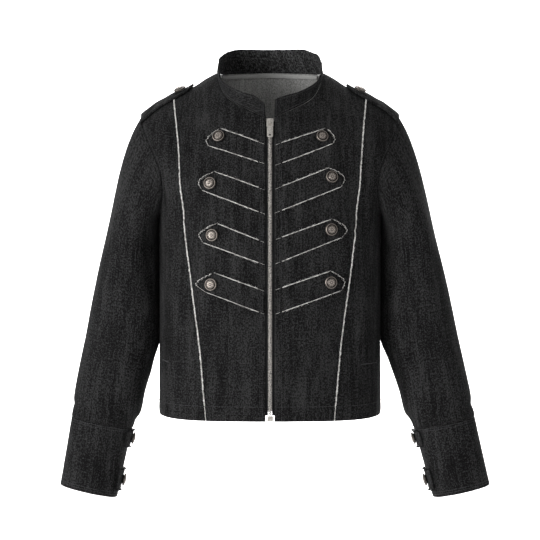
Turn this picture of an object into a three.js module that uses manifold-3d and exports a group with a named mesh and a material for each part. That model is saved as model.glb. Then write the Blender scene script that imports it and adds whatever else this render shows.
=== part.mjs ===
import * as THREE from "three";
import { mergeVertices } from "three/addons/utils/BufferGeometryUtils.js";
import Module from "manifold-3d";

// Cropped black denim jacket with a stand collar, worn by nobody: a hollow garment in its worn form.
// Millimetres, +Z up, +X to the wearer's left, the front faces -Y. The origin is at the middle of
// the neck, level with the side neck seams.

const wasm = await Module();
wasm.setup();

// Driving dimensions
const HEM_Z = -541; // lowest line of the body, at the centre front
const HEM_SIDE_RISE = 5; // the hem is this much higher at the side seams
const HEM_RISE_POWER = 6; // how late the hem rises towards the side seams
const ARCH_Z = -230; // above this height the chest arches towards the shoulders
const ARCH_SPAN = 230; // length along the body that one radian of rise stands for below the arch
const FRONT_EDGE_X = 7; // each front stops this far from the middle
const SHOULDER_SEAM_X = 86; // side neck
const PRINCESS_TOP_X = 154; // princess seam on the shoulder seam
const SHOULDER_END_X = 207; // shoulder end of the armhole
const RIDGE_NECK_Y = 18; // the shoulder ridge's y at the side neck; it runs forwards to the arm
const RIDGE_END_X = 209; // where the ridge's y has reached 0
const SECTION_POWER = 2.5; // squareness of the body's horizontal sections
const SLEEVE_POWER = 2.2; // squareness of a sleeve's sections
const CLOTH = 1.6; // denim
const HEM_CLOTH = 3; // denim turned up twice
const CUFF_CLOTH = 2.2;
const COLLAR_CLOTH = 2.4;
const SEAM_GAP = 0.3;
const PRINCESS_HALF_GAP = 0.18; // in x, from the princess line to each panel
const CUFF_PROUD = 0.5; // the cuff stands this far off the sleeve's surface
const COLLAR_CENTRE_Y = 5; // the collar turns about this y at the middle
const SHOULDER_REACH = 60; // how far below the ridge the shoulder's height is looked for
const HALVINGS = 40; // passes of that search
const RIDGE_PASSES = 14; // passes that settle a point's height and width together
const LIFT = 0.6; // clearance under what lies on a panel

// Counts of steps along and across the pieces
const STEPS = {
  belowArmhole: 13,
  armhole: 10,
  neckFront: 7,
  neckBack: 4,
  shoulderInner: 3,
  shoulderOuter: 6,
  sleeveHead: 6,
  sleeve: 10,
  cuff: 3,
  collar: 2,
};

const BODY_WIDTH = [
  { z: -541, half: 174.5 },
  { z: -530, half: 176.5 },
  { z: -500, half: 176.5 },
  { z: -350, half: 176.5 },
  { z: -230, half: 178 },
  { z: -180, half: 190 },
  { z: -120, half: 215 },
  { z: -70, half: 232 },
  { z: -40, half: 240 },
  { z: 60, half: 240 },
];
const BODY_DEPTH = [
  { z: -541, front: 113, back: 98 },
  { z: -420, front: 113, back: 96 },
  { z: -230, front: 117, back: 105 },
  { z: 60, front: 117, back: 105 },
];
// Heights of the ridge where the arching front and back meet, out to the shoulder end
const RIDGE = [
  { x: 0, front: 40, back: 75 },
  { x: 40, front: 32, back: 62 },
  { x: 86, front: 10, back: 10 },
  { x: 104, front: 0, back: 0 },
  { x: 120, front: -11, back: -11 },
  { x: 150, front: -25, back: -25 },
  { x: 178, front: -41, back: -41 },
  { x: 198, front: -55, back: -55 },
  { x: 209, front: -66, back: -66 },
  { x: 225, front: -85, back: -85 },
];
const NECKLINE_FRONT = [
  { x: 7, z: -69 },
  { x: 29.5, z: -58 },
  { x: 57, z: -44 },
  { x: 72, z: -30 },
  { x: 80, z: -13 },
  { x: 86, z: 10 },
];
const NECKLINE_BACK = [
  { x: 0, z: 17 },
  { x: 30, z: 16 },
  { x: 60, z: 14 },
  { x: 78, z: 11 },
  { x: 86, z: 10 },
];
const PRINCESS = [
  { z: -541, x: 99 },
  { z: -503, x: 102.4 },
  { z: -432, x: 108.6 },
  { z: -384, x: 115 },
  { z: -263, x: 130 },
  { z: -190, x: 137.3 },
  { z: -97, x: 145 },
  { z: -27, x: 154 },
];
const ARMHOLE_FRONT = [
  { x: 178.1, z: -224 },
  { x: 170.5, z: -207 },
  { x: 168.5, z: -185 },
  { x: 171, z: -160 },
  { x: 177, z: -140 },
  { x: 187, z: -118 },
  { x: 198, z: -92 },
  { x: 207, z: -64 },
];
const ARMHOLE_BACK = [
  { x: 178.1, z: -224 },
  { x: 177, z: -207 },
  { x: 180, z: -185 },
  { x: 185, z: -160 },
  { x: 192, z: -130 },
  { x: 200, z: -98 },
  { x: 207, z: -64 },
];
// Sections of the wearer's left arm, from the underarm to the cuff's end: the outer point and the
// inner one's height from the front, half the depth, the centre's y, and how far the left arm
// swings out and the right arm in
const SLEEVE = [
  { level: 0, outerX: 263, outerZ: -250, innerZ: -272, depth: 70, y: 4, swing: 1.2 },
  { level: 1, outerX: 285, outerZ: -350, innerZ: -374, depth: 60, y: 2, swing: 2 },
  { level: 2, outerX: 302, outerZ: -428, innerZ: -452, depth: 51, y: 0, swing: 3 },
  { level: 3, outerX: 317, outerZ: -505, innerZ: -527, depth: 46, y: -8, swing: 4 },
  { level: 4, outerX: 320, outerZ: -539, innerZ: -558, depth: 43, y: -16, swing: 5 },
  { level: 5, outerX: 339.5, outerZ: -646, innerZ: -666, depth: 38, y: -28, swing: 8 },
];
// The inner point's x: the upper arm lies against the body's side
const SLEEVE_INNER = [
  { level: 0, x: 178.7 },
  { level: 1, x: 177.7 },
  { level: 1.55, x: 178.2 },
  { level: 1.75, x: 181.4 },
  { level: 2, x: 188 },
  { level: 3, x: 208 },
  { level: 4, x: 224 },
  { level: 5, x: 251 },
];
const SWING_LEVELS = [1.5, 2.2]; // the inner point starts to swing, and swings fully
const CUFF_LEVEL = 4;
const CUFF_SEAM = 0.003; // the seam gap above the cuff, in levels
// The sleeve's head: how straight it sets out, its bulge at the underarm and at the crown
const HEAD = { pull: 0.75, underarm: 30, crownX: 42, crownZ: 16 };
// The largest folds of a sleeve: where along and around it (0 outside, 90 front), how deep and long
const SLEEVE_FOLDS = [
  { level: 0.5, around: 118, depth: 3, length: 0.3 },
  { level: 1.2, around: 100, depth: 2.5, length: 0.3 },
  { level: 1.9, around: 60, depth: 2, length: 0.35 },
  { level: 2.6, around: 170, depth: 3, length: 0.35 },
  { level: 3.4, around: 20, depth: 2.5, length: 0.3 },
  { level: 1.5, around: 270, depth: 3, length: 0.4 },
];
// Top edge of the left half of the collar, from the zip round to the middle of the back
const COLLAR_TOP = [
  { along: 0, x: 8, y: -70, z: -36 },
  { along: 0.127, x: 39, y: -64, z: -29.5 },
  { along: 0.245, x: 63, y: -50, z: -18 },
  { along: 0.35, x: 78, y: -32, z: -5 },
  { along: 0.447, x: 83, y: -16, z: 13 },
  { along: 0.556, x: 81, y: 4, z: 32 },
  { along: 0.64, x: 75, y: 22, z: 41.5 },
  { along: 0.777, x: 54, y: 46, z: 51.5 },
  { along: 0.89, x: 28, y: 59, z: 53 },
  { along: 1, x: 0, y: 62, z: 53 },
];
const COLLAR_CORNER_DROP = { left: 4, right: 11 }; // cut away at the front corners
// Chevron tabs as seen from the front: the inner end's top and bottom, the corner where the top
// edge ends, the tip, the heel where the bottom edge starts, and the button
const TABS = [
  {
    name: "1_right", innerTop: -112.7, innerBottom: -143.1, cornerX: 77.6, cornerZ: -87.1,
    tipX: 98, tipZ: -105, heelX: 95.4, heelZ: -113.9, buttonX: 79.5, buttonZ: -100.4,
  },
  {
    name: "2_right", innerTop: -184.1, innerBottom: -220.8, cornerX: 86, cornerZ: -155.5,
    tipX: 108.2, tipZ: -171, heelX: 104.3, heelZ: -183.9, buttonX: 92.3, buttonZ: -173.7,
  },
  {
    name: "3_right", innerTop: -265, innerBottom: -298.7, cornerX: 82, cornerZ: -235.3,
    tipX: 106.9, tipZ: -252, heelX: 103.1, heelZ: -264.2, buttonX: 88.3, buttonZ: -253.1,
  },
  {
    name: "4_right", innerTop: -339.9, innerBottom: -374.7, cornerX: 86, cornerZ: -311.5,
    tipX: 112, tipZ: -329, heelX: 99.2, heelZ: -340.7, buttonX: 90.3, buttonZ: -329.3,
  },
  {
    name: "1_left", innerTop: -113.9, innerBottom: -145.7, cornerX: 86, cornerZ: -87.5,
    tipX: 99.1, tipZ: -104, heelX: 97.2, heelZ: -111.3, buttonX: 80.2, buttonZ: -101.1,
  },
  {
    name: "2_left", innerTop: -182.8, innerBottom: -219, cornerX: 90, cornerZ: -150,
    tipX: 113.4, tipZ: -166, heelX: 108.8, heelZ: -178.7, buttonX: 94.6, buttonZ: -164.1,
  },
  {
    name: "3_left", innerTop: -260.4, innerBottom: -297.3, cornerX: 96, cornerZ: -228.5,
    tipX: 116.3, tipZ: -245, heelX: 110, heelZ: -256.5, buttonX: 93.4, buttonZ: -244.5,
  },
  {
    name: "4_left", innerTop: -337.8, innerBottom: -374.7, cornerX: 93, cornerZ: -308.8,
    tipX: 113, tipZ: -325, heelX: 110, heelZ: -338.2, buttonX: 92.6, buttonZ: -326.2,
  },
];
const TAB_INNER_X = 8.5;
const BUTTON = { radius: 9.8, shank: 4, rise: 1.2, rim: 2.6, height: 5.6, segments: 12 };
const BUTTON_SHOULDER = { radius: 0.68, height: 0.86 }; // shares of the dome's radius and height
const BUTTON_GAP = 0.5; // between a shank and the cloth that it holds
const EPAULETTE = {
  neckX: 121,
  armX: 204,
  half: 22,
  neckHalf: 17,
  tip: 9,
  cloth: 2.6,
  lift: 1.9,
  buttonX: 142,
  buttonY: -9, // from the ridge
};
const CUFF_TAB = { levels: [4.18, 4.755], halfLevel: 0.125, halfAngle: 32, cloth: 2 };
const TRIM = { width: 3, cloth: 0.9 };
const NECK_TAPE = { height: 7, gap: 1.8, cloth: 0.8, below: 1.2 };
const ZIP = {
  bottomZ: -531.5,
  topZ: -74,
  sliderZ: -78,
  chainInner: 0.15,
  chainOuter: 3.2,
  chainFront: 0.5,
  chainBack: 2.5,
  tapeInner: 3.5,
  tapeOuter: 17,
  tapeCloth: 0.8,
  steps: 20,
};
const SLIDER = {
  width: 10.8,
  top: 7,
  plateFront: -2.1,
  plateBack: -0.9,
  wedge: 5,
  innerFront: 3.7,
  innerBack: 4.9,
  archHalf: 1.5,
  archTop: 4.2,
  archPost: 1.2,
  archUnder: -4.5,
  archOver: -5.7,
};
const PULL = {
  width: 9.4,
  length: 27,
  cloth: 1.2,
  bar: 0.7,
  corner: 1.8,
  slotHalf: 2.2,
  slotEnd: 6,
  hole: 1.3,
  holeEnd: 4,
};
const PULL_PIVOT_Y = -3.3; // in the slider's frame, midway inside its arch
const ZIP_BOX = { half: 4.8, top: -532, bottom: -540.5, front: 1.2, back: 3 };

const COLOURS = {
  denim: "#2c2d30",
  collar: "#27282b",
  tab: "#2f3033",
  fray: "#e4e1da",
  tape: "#151517",
  neckTape: "#55575a",
  chain: "#908d88",
  button: "#746f67",
  pull: "#8c8983",
};

// Curves and surfaces

const clamp = (value, low, high) => Math.min(high, Math.max(low, value));
const blend = (a, b, share) => a + (b - a) * share;
const signedPower = (value, power) => Math.sign(value) * Math.pow(Math.abs(value), power);

// A smooth curve through a table's rows, as value against key; it stays level past the ends.
function profile(rows, key, value) {
  const slope = (i) => {
    const before = rows[Math.max(0, i - 1)];
    const after = rows[Math.min(rows.length - 1, i + 1)];
    return (after[value] - before[value]) / (after[key] - before[key]);
  };
  return (at) => {
    const x = clamp(at, rows[0][key], rows.at(-1)[key]);
    let i = 0;
    while (i < rows.length - 2 && x > rows[i + 1][key]) i++;
    const [low, high] = [rows[i], rows[i + 1]];
    const span = high[key] - low[key];
    return hermite(low[value], high[value], slope(i) * span, slope(i + 1) * span, (x - low[key]) / span);
  };
}

function hermite(from, to, slopeFrom, slopeTo, s) {
  const square = s * s;
  const cube = square * s;
  return (
    from * (2 * cube - 3 * square + 1) +
    slopeFrom * (cube - 2 * square + s) +
    to * (3 * square - 2 * cube) +
    slopeTo * (cube - square)
  );
}

// A smooth curve through a table's x and z, as a function of the share of its length.
function outline(rows) {
  const at = [0];
  rows.slice(1).forEach((row, i) => at.push(at[i] + Math.hypot(row.x - rows[i].x, row.z - rows[i].z)));
  const knots = rows.map((row, i) => ({ ...row, share: at[i] / at.at(-1) }));
  const x = profile(knots, "share", "x");
  const z = profile(knots, "share", "z");
  return (share) => ({ x: x(share), z: z(share) });
}

const bodyHalf = profile(BODY_WIDTH, "z", "half");
const princessX = profile(PRINCESS, "z", "x");
const ridgeY = (x) =>
  blend(RIDGE_NECK_Y, 0, clamp((x - SHOULDER_SEAM_X) / (RIDGE_END_X - SHOULDER_SEAM_X), 0, 1));
const FRONT = {
  sign: -1,
  ridge: profile(RIDGE, "x", "front"),
  depth: profile(BODY_DEPTH, "z", "front"),
  archPower: 1.6,
};
const BACK = {
  sign: 1,
  ridge: profile(RIDGE, "x", "back"),
  depth: profile(BODY_DEPTH, "z", "back"),
  archPower: 2.2,
};

// A place on the body is an angle from the centre line (0 to 90 degrees at the side) and a rise,
// which is 0 where the arch starts and 90 degrees on the shoulder ridge.
function placeAt(x, z, half) {
  const angle = Math.asin(Math.pow(clamp(x / bodyHalf(z), 0, 1), SECTION_POWER / 2));
  const share = (z - ARCH_Z) / (half.ridge(x) - ARCH_Z);
  const rise = z < ARCH_Z ? (z - ARCH_Z) / ARCH_SPAN : Math.asin(clamp(share, 0, 1));
  return { angle, rise };
}

function bodyPoint({ angle, rise }, half) {
  const across = Math.pow(Math.max(0, Math.sin(angle)), 2 / SECTION_POWER);
  const fore = Math.pow(Math.max(0, Math.cos(angle)), 2 / SECTION_POWER);
  let z = ARCH_Z + ARCH_SPAN * Math.min(rise, 0);
  if (rise > 0)
    for (let pass = 0; pass < RIDGE_PASSES; pass++)
      z = blend(ARCH_Z, half.ridge(bodyHalf(z) * across), Math.sin(rise));
  const x = bodyHalf(z) * across;
  const t = Math.sin(Math.max(rise, 0));
  const arch = Math.pow(Math.max(0, 1 - Math.pow(t, half.archPower)), 1 / half.archPower);
  const y = half.sign * (half.depth(z) * fore * arch + SEAM_GAP / 2) + ridgeY(x) * t * t;
  return new THREE.Vector3(x, y, z);
}

// The body's outward normal, from steps that stay inside the half it is asked for.
function bodyNormal(place, half) {
  const step = 1e-4;
  const angle = clamp(place.angle, step, Math.PI / 2 - step);
  const rise = Math.min(place.rise, Math.PI / 2 - step);
  const across = bodyPoint({ angle: angle + step, rise }, half).sub(
    bodyPoint({ angle: angle - step, rise }, half),
  );
  const up = bodyPoint({ angle, rise: rise + step }, half).sub(
    bodyPoint({ angle, rise: rise - step }, half),
  );
  const normal = across.cross(up).normalize();
  return half === BACK ? normal.negate() : normal;
}

const onBody = (place, half) => ({ point: bodyPoint(place, half), normal: bodyNormal(place, half) });
const frontAt = (x, z) => onBody(placeAt(Math.abs(x), z, FRONT), FRONT);

// Places at equal distances along a curve of places.
function spaced(curve, count, half) {
  const samples = 160;
  const lengths = [0];
  let last = bodyPoint(curve(0), half);
  for (let i = 1; i <= samples; i++) {
    const next = bodyPoint(curve(i / samples), half);
    lengths.push(lengths[i - 1] + next.distanceTo(last));
    last = next;
  }
  return Array.from({ length: count + 1 }, (_, i) => {
    const wanted = (lengths.at(-1) * i) / count;
    const k = clamp(lengths.findIndex((length) => length >= wanted), 1, samples);
    const part = (wanted - lengths[k - 1]) / (lengths[k] - lengths[k - 1]);
    return curve((k - 1 + part) / samples);
  });
}

// Fills the four edges of a panel, each a list of places, with a smooth net of places.
function fillEdges({ bottom, top, left, right }) {
  const columns = bottom.length - 1;
  const rows = left.length - 1;
  const mix = (key, i, j) => {
    const u = i / columns;
    const v = j / rows;
    const corners = blend(
      blend(left[0][key], right[0][key], u),
      blend(left[rows][key], right[rows][key], u),
      v,
    );
    return blend(bottom[i][key], top[i][key], v) + blend(left[j][key], right[j][key], u) - corners;
  };
  return left.map((_, j) =>
    bottom.map((__, i) => ({
      angle: clamp(mix("angle", i, j), 0, Math.PI / 2),
      rise: Math.min(mix("rise", i, j), Math.PI / 2),
    })),
  );
}

// Meshes

// A closed cloth wall between two nets of points, rows by columns; a tube's columns close up.
function wallGeometry(outer, inner, closed = false) {
  const rows = outer.length;
  const columns = outer[0].length;
  const points = [...outer.flat(), ...inner.flat()];
  const index = (side, row, column) => side * rows * columns + row * columns + (column % columns);
  const faces = [];
  const quad = (a, b, c, d) => faces.push(a, b, c, a, c, d);
  const lastColumn = closed ? columns : columns - 1;
  for (let row = 0; row < rows - 1; row++)
    for (let column = 0; column < lastColumn; column++) {
      const corners = (side) => [
        index(side, row, column),
        index(side, row, column + 1),
        index(side, row + 1, column + 1),
        index(side, row + 1, column),
      ];
      quad(...corners(0));
      quad(...corners(1).reverse());
    }
  for (let column = 0; column < lastColumn; column++) {
    quad(index(1, 0, column), index(1, 0, column + 1), index(0, 0, column + 1), index(0, 0, column));
    const top = rows - 1;
    quad(index(0, top, column), index(0, top, column + 1), index(1, top, column + 1), index(1, top, column));
  }
  if (!closed)
    for (let row = 0; row < rows - 1; row++) {
      quad(index(0, row, 0), index(0, row + 1, 0), index(1, row + 1, 0), index(1, row, 0));
      const end = columns - 1;
      quad(index(1, row, end), index(1, row + 1, end), index(0, row + 1, end), index(0, row, end));
    }
  return facingOut(new THREE.BufferGeometry().setFromPoints(points).setIndex(faces));
}

// Turns a closed geometry's faces outwards, whichever way its net runs.
function facingOut(geometry) {
  const position = geometry.getAttribute("position");
  const index = geometry.index.array;
  const corner = (i) => new THREE.Vector3().fromBufferAttribute(position, index[i]);
  let volume = 0;
  for (let i = 0; i < index.length; i += 3) volume += corner(i).dot(corner(i + 1).cross(corner(i + 2)));
  if (volume < 0)
    for (let i = 0; i < index.length; i += 3) [index[i], index[i + 1]] = [index[i + 1], index[i]];
  geometry.computeVertexNormals();
  return geometry;
}

// One closed geometry from two that reach into each other.
function joined(first, second) {
  const [a, b] = [first, second].map((geometry) => {
    const bare = new THREE.BufferGeometry().setAttribute("position", geometry.getAttribute("position"));
    if (geometry.index) bare.setIndex(geometry.index);
    const merged = mergeVertices(bare, 1e-4);
    return new wasm.Manifold(
      new wasm.Mesh({
        numProp: 3,
        vertProperties: merged.getAttribute("position").array,
        triVerts: new Uint32Array(merged.index.array),
      }),
    );
  });
  const { vertProperties, triVerts } = a.add(b).getMesh();
  const geometry = new THREE.BufferGeometry();
  geometry.setAttribute("position", new THREE.BufferAttribute(vertProperties, 3));
  geometry.setIndex(Array.from(triVerts));
  geometry.computeVertexNormals();
  return geometry;
}

const along = ({ point, normal }, distance) => point.clone().addScaledVector(normal, distance);
const mirrored = (vector) => new THREE.Vector3(-vector.x, vector.y, vector.z);
const mirrorNet = (net) =>
  net.map((row) => row.map(({ point, normal }) => ({ point: mirrored(point), normal: mirrored(normal) })));
const sided = (net, side) => (side === "left" ? net : mirrorNet(net));

// A wall from a net of points with normals: its faces lie at two distances from the net.
function layer(net, front, back, closed = false) {
  const depth = (row) => (typeof back === "function" ? back(row) : back);
  return wallGeometry(
    net.map((row) => row.map((spot) => along(spot, front))),
    net.map((row, j) => row.map((spot) => along(spot, depth(j)))),
    closed,
  );
}

const jacket = new THREE.Group();
const finish = (colour, roughness, metalness = 0) =>
  new THREE.MeshStandardMaterial({ color: colour, roughness, metalness, side: THREE.DoubleSide });

function addMesh(name, geometry, material, parent = jacket) {
  const mesh = new THREE.Mesh(geometry, material);
  mesh.name = name;
  parent.add(mesh);
  return mesh;
}

// Body panels

const hemPlace = (angle) => {
  const rise = HEM_SIDE_RISE * Math.pow(Math.sin(angle), HEM_RISE_POWER);
  return { angle, rise: (HEM_Z + rise - ARCH_Z) / ARCH_SPAN };
};
const verticals = (lower, upper, half) => [
  ...spaced(lower, STEPS.belowArmhole, half),
  ...spaced(upper, STEPS.armhole, half).slice(1),
];
const underarmZ = ARMHOLE_FRONT[0].z;
const edgeAtX = (xAt, from, to, half) => (share) => {
  const z = blend(from, to, share);
  return placeAt(xAt(z), z, half);
};
const hemAtX = (x) => hemPlace(placeAt(x, HEM_Z, FRONT).angle);

function shoulderPlace(x, half) {
  return { angle: placeAt(x, half.ridge(x), half).angle, rise: Math.PI / 2 };
}

function princessEdge(offset) {
  const x = (z) => princessX(z) + offset;
  const top = FRONT.ridge(PRINCESS_TOP_X);
  const lower = edgeAtX(x, HEM_Z, underarmZ, FRONT);
  const upper = (share) => {
    const from = placeAt(x(underarmZ), underarmZ, FRONT).rise;
    const rise = blend(from, Math.PI / 2, share);
    const z = blend(ARCH_Z, top, Math.sin(Math.max(rise, 0)));
    return { angle: placeAt(x(z), z, FRONT).angle, rise };
  };
  const places = verticals(lower, upper, FRONT);
  places[0] = hemPlace(places[0].angle);
  places[places.length - 1] = shoulderPlace(PRINCESS_TOP_X + offset, FRONT);
  return places;
}

function sideEdge(half, armhole) {
  const lower = (share) => ({
    angle: Math.PI / 2,
    rise: blend(hemPlace(Math.PI / 2).rise, placeAt(armhole[0].x, underarmZ, half).rise, share),
  });
  const curve = outline(armhole);
  const upper = (share) => {
    const { x, z } = curve(share);
    const place = placeAt(x, z, half);
    if (share === 0) place.angle = Math.PI / 2;
    return share === 1 ? shoulderPlace(SHOULDER_END_X, half) : place;
  };
  return verticals(lower, upper, half);
}

const shoulderPlaces = (fromX, toX, count, half) =>
  Array.from({ length: count + 1 }, (_, i) => shoulderPlace(blend(fromX, toX, i / count), half));
const necklinePlaces = (rows, count, half) => {
  const curve = outline(rows);
  const places = spaced((share) => placeAt(curve(share).x, curve(share).z, half), count, half);
  places[count] = shoulderPlace(SHOULDER_SEAM_X, half);
  return places;
};
const hemPlaces = (fromAngle, toAngle, count) =>
  Array.from({ length: count + 1 }, (_, i) => hemPlace(blend(fromAngle, toAngle, i / count)));
const netOf = (places, half) => places.map((row) => row.map((place) => onBody(place, half)));

const centreEdge = () => {
  const x = () => FRONT_EDGE_X;
  const places = verticals(
    edgeAtX(x, HEM_Z, underarmZ, FRONT),
    edgeAtX(x, underarmZ, NECKLINE_FRONT[0].z, FRONT),
    FRONT,
  );
  places[0] = hemAtX(FRONT_EDGE_X);
  return places;
};

const princessInner = princessEdge(-PRINCESS_HALF_GAP);
const princessOuter = princessEdge(PRINCESS_HALF_GAP);
const frontCentreNet = netOf(
  fillEdges({
    bottom: hemPlaces(
      hemAtX(FRONT_EDGE_X).angle,
      princessInner[0].angle,
      STEPS.neckFront + STEPS.shoulderInner,
    ),
    top: [
      ...necklinePlaces(NECKLINE_FRONT, STEPS.neckFront, FRONT),
      ...shoulderPlaces(
        SHOULDER_SEAM_X,
        PRINCESS_TOP_X - PRINCESS_HALF_GAP,
        STEPS.shoulderInner,
        FRONT,
      ).slice(1),
    ],
    left: centreEdge(),
    right: princessInner,
  }),
  FRONT,
);
const frontSideNet = netOf(
  fillEdges({
    bottom: hemPlaces(princessOuter[0].angle, Math.PI / 2, STEPS.shoulderOuter),
    top: shoulderPlaces(PRINCESS_TOP_X + PRINCESS_HALF_GAP, SHOULDER_END_X, STEPS.shoulderOuter, FRONT),
    left: princessOuter,
    right: sideEdge(FRONT, ARMHOLE_FRONT),
  }),
  FRONT,
);
const halfBackNet = netOf(
  fillEdges({
    bottom: hemPlaces(0, Math.PI / 2, STEPS.neckBack + STEPS.shoulderInner + STEPS.shoulderOuter),
    top: [
      ...necklinePlaces(NECKLINE_BACK, STEPS.neckBack, BACK),
      ...shoulderPlaces(SHOULDER_SEAM_X, PRINCESS_TOP_X, STEPS.shoulderInner, BACK).slice(1),
      ...shoulderPlaces(PRINCESS_TOP_X, SHOULDER_END_X, STEPS.shoulderOuter, BACK).slice(1),
    ],
    left: verticals(
      edgeAtX(() => 0, HEM_Z, underarmZ, BACK),
      edgeAtX(() => 0, underarmZ, NECKLINE_BACK[0].z, BACK),
      BACK,
    ),
    right: sideEdge(BACK, ARMHOLE_BACK),
  }),
  BACK,
);
const backNet = halfBackNet.map((row) => [...mirrorNet([row])[0].reverse().slice(0, -1), ...row]);
const panelDepth = (row) => -(row < 2 ? HEM_CLOTH : CLOTH);

function addBody() {
  const denim = finish(COLOURS.denim, 0.85);
  for (const side of ["left", "right"]) {
    addMesh(`front_center_${side}`, layer(sided(frontCentreNet, side), 0, panelDepth), denim);
    addMesh(`front_side_${side}`, layer(sided(frontSideNet, side), 0, panelDepth), denim);
  }
  addMesh("back", layer(backNet, 0, panelDepth), denim);
}

// Seams where a tube leaves a panel's edge

// Net normals from the neighbours of each point, with the columns closed up on a tube.
function withNormals(net, closed) {
  const columns = net[0].length;
  return net.map((row, j) =>
    row.map((point, i) => {
      const before = closed ? (i + columns - 1) % columns : Math.max(0, i - 1);
      const after = closed ? (i + 1) % columns : Math.min(columns - 1, i + 1);
      const around = row[after].clone().sub(row[before]);
      const down = net[Math.min(net.length - 1, j + 1)][i].clone().sub(net[Math.max(0, j - 1)][i]);
      return { point, normal: around.cross(down).normalize() };
    }),
  );
}

// Moves the first row of a net a seam gap off the edge that it is sewn to. The edge's points carry
// the panel's normal and the direction that leads off the panel. Where the cloth bends away
// outwards the row keeps the panel's normal, so the two edges stay parallel.
function sewn(net, edge, closed) {
  const raw = withNormals(net, closed);
  const first = edge.map(({ point, normal, off }, i) => {
    const onward = net[1][i].clone().sub(point).normalize();
    const gap = onward.clone().add(off).normalize();
    const bendsIn = onward.dot(normal) < 0;
    const own = raw[0][i].normal;
    return { point: point.clone().addScaledVector(gap, SEAM_GAP), normal: bendsIn ? normal : own };
  });
  return [first, ...raw.slice(1)];
}

// The direction in a panel that leads off its edge, away from a point inside the panel.
function leadingOff(edge, inside, closed) {
  const last = edge.length - 1;
  return edge.map((spot, i) => {
    const before = edge[closed ? (i + last) % edge.length : Math.max(0, i - 1)].point;
    const after = edge[closed ? (i + 1) % edge.length : Math.min(last, i + 1)].point;
    const off = after.clone().sub(before).cross(spot.normal).normalize();
    if (off.dot(spot.point.clone().sub(inside[i])) < 0) off.negate();
    return { ...spot, off };
  });
}

const middle = (a, b) => ({
  point: a.point.clone().lerp(b.point, 0.5),
  normal: a.normal.clone().add(b.normal).normalize(),
});

// The armhole's loop: shoulder end, down the front, underarm and up the back.
function armholeLoop() {
  const top = STEPS.belowArmhole + STEPS.armhole;
  const under = STEPS.belowArmhole;
  const rows = Array.from({ length: STEPS.armhole - 1 }, (_, i) => under + 1 + i);
  const edge = (net, row) => net[row].at(-1);
  const inside = (net, row) => net[row].at(-2).point;
  const loop = [
    middle(edge(frontSideNet, top), edge(halfBackNet, top)),
    ...rows.toReversed().map((row) => edge(frontSideNet, row)),
    middle(edge(frontSideNet, under), edge(halfBackNet, under)),
    ...rows.map((row) => edge(halfBackNet, row)),
  ];
  const within = [
    inside(frontSideNet, top),
    ...rows.toReversed().map((row) => inside(frontSideNet, row)),
    frontSideNet[under - 1].at(-1).point,
    ...rows.map((row) => inside(halfBackNet, row)),
  ];
  return leadingOff(loop, within, true);
}

// Sleeves and cuffs, made for the wearer's left arm

const sleeveAt = Object.fromEntries(
  ["outerX", "outerZ", "innerZ", "depth", "y", "swing"].map((key) => [
    key,
    profile(SLEEVE, "level", key),
  ]),
);
const sleeveInnerX = profile(SLEEVE_INNER, "level", "x");
const AROUND = 2 * STEPS.armhole;

function foldDepth(level, angle) {
  const degrees = THREE.MathUtils.radToDeg(angle);
  return SLEEVE_FOLDS.reduce((sum, fold) => {
    const turn = THREE.MathUtils.degToRad(degrees - fold.around);
    const near = Math.pow(Math.max(0, Math.cos(turn)), 3);
    return sum + fold.depth * near * Math.exp(-Math.pow((level - fold.level) / fold.length, 2));
  }, 0);
}

function sleevePoint(level, angle, swingSign) {
  const swing = swingSign * sleeveAt.swing(level);
  const outer = new THREE.Vector3(sleeveAt.outerX(level) + swing, 0, sleeveAt.outerZ(level));
  const [still, free] = SWING_LEVELS;
  const innerSwing = swing * clamp((level - still) / (free - still), 0, 1);
  const inner = new THREE.Vector3(sleeveInnerX(level) + innerSwing, 0, sleeveAt.innerZ(level));
  const axis = outer.clone().sub(inner);
  const half = axis.length() / 2;
  const shrink = 1 - foldDepth(level, angle) / half;
  const reach = signedPower(Math.cos(angle), 2 / SLEEVE_POWER) * half * shrink;
  const fore = signedPower(Math.sin(angle), 2 / SLEEVE_POWER) * sleeveAt.depth(level) * shrink;
  const centre = outer.clone().add(inner).multiplyScalar(0.5);
  centre.y = sleeveAt.y(level) - fore;
  return centre.addScaledVector(axis.normalize(), reach);
}

const sleeveRing = (level, swingSign) =>
  Array.from({ length: AROUND }, (_, i) => sleevePoint(level, (i / AROUND) * 2 * Math.PI, swingSign));

// The sleeve's head leaves each armhole point off the body and arrives along the arm.
function sleeveHead(loop, swingSign) {
  const landing = sleeveRing(0, swingSign);
  const next = sleeveRing(0.1, swingSign);
  return Array.from({ length: STEPS.sleeveHead }, (_, step) => {
    const share = step / STEPS.sleeveHead;
    return loop.map(({ point, normal }, i) => {
      const crown = Math.cos((i / AROUND) * 2 * Math.PI);
      const reach = landing[i].clone().sub(point);
      const start = reach.clone().multiplyScalar(HEAD.pull);
      start.addScaledVector(normal, HEAD.underarm * Math.max(0, -crown));
      start.add(new THREE.Vector3(HEAD.crownX, 0, HEAD.crownZ).multiplyScalar(Math.max(0, crown)));
      const end = next[i].clone().sub(landing[i]).setLength(reach.length());
      const at = (key) => hermite(point[key], landing[i][key], start[key], end[key], share);
      return new THREE.Vector3(at("x"), at("y"), at("z"));
    });
  });
}

function sleeveNet(swingSign) {
  const loop = armholeLoop();
  const rings = [
    ...sleeveHead(loop, swingSign),
    ...Array.from({ length: STEPS.sleeve + 1 }, (_, i) =>
      sleeveRing((CUFF_LEVEL * i) / STEPS.sleeve, swingSign),
    ),
  ];
  return sewn(rings, loop, true);
}

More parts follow.
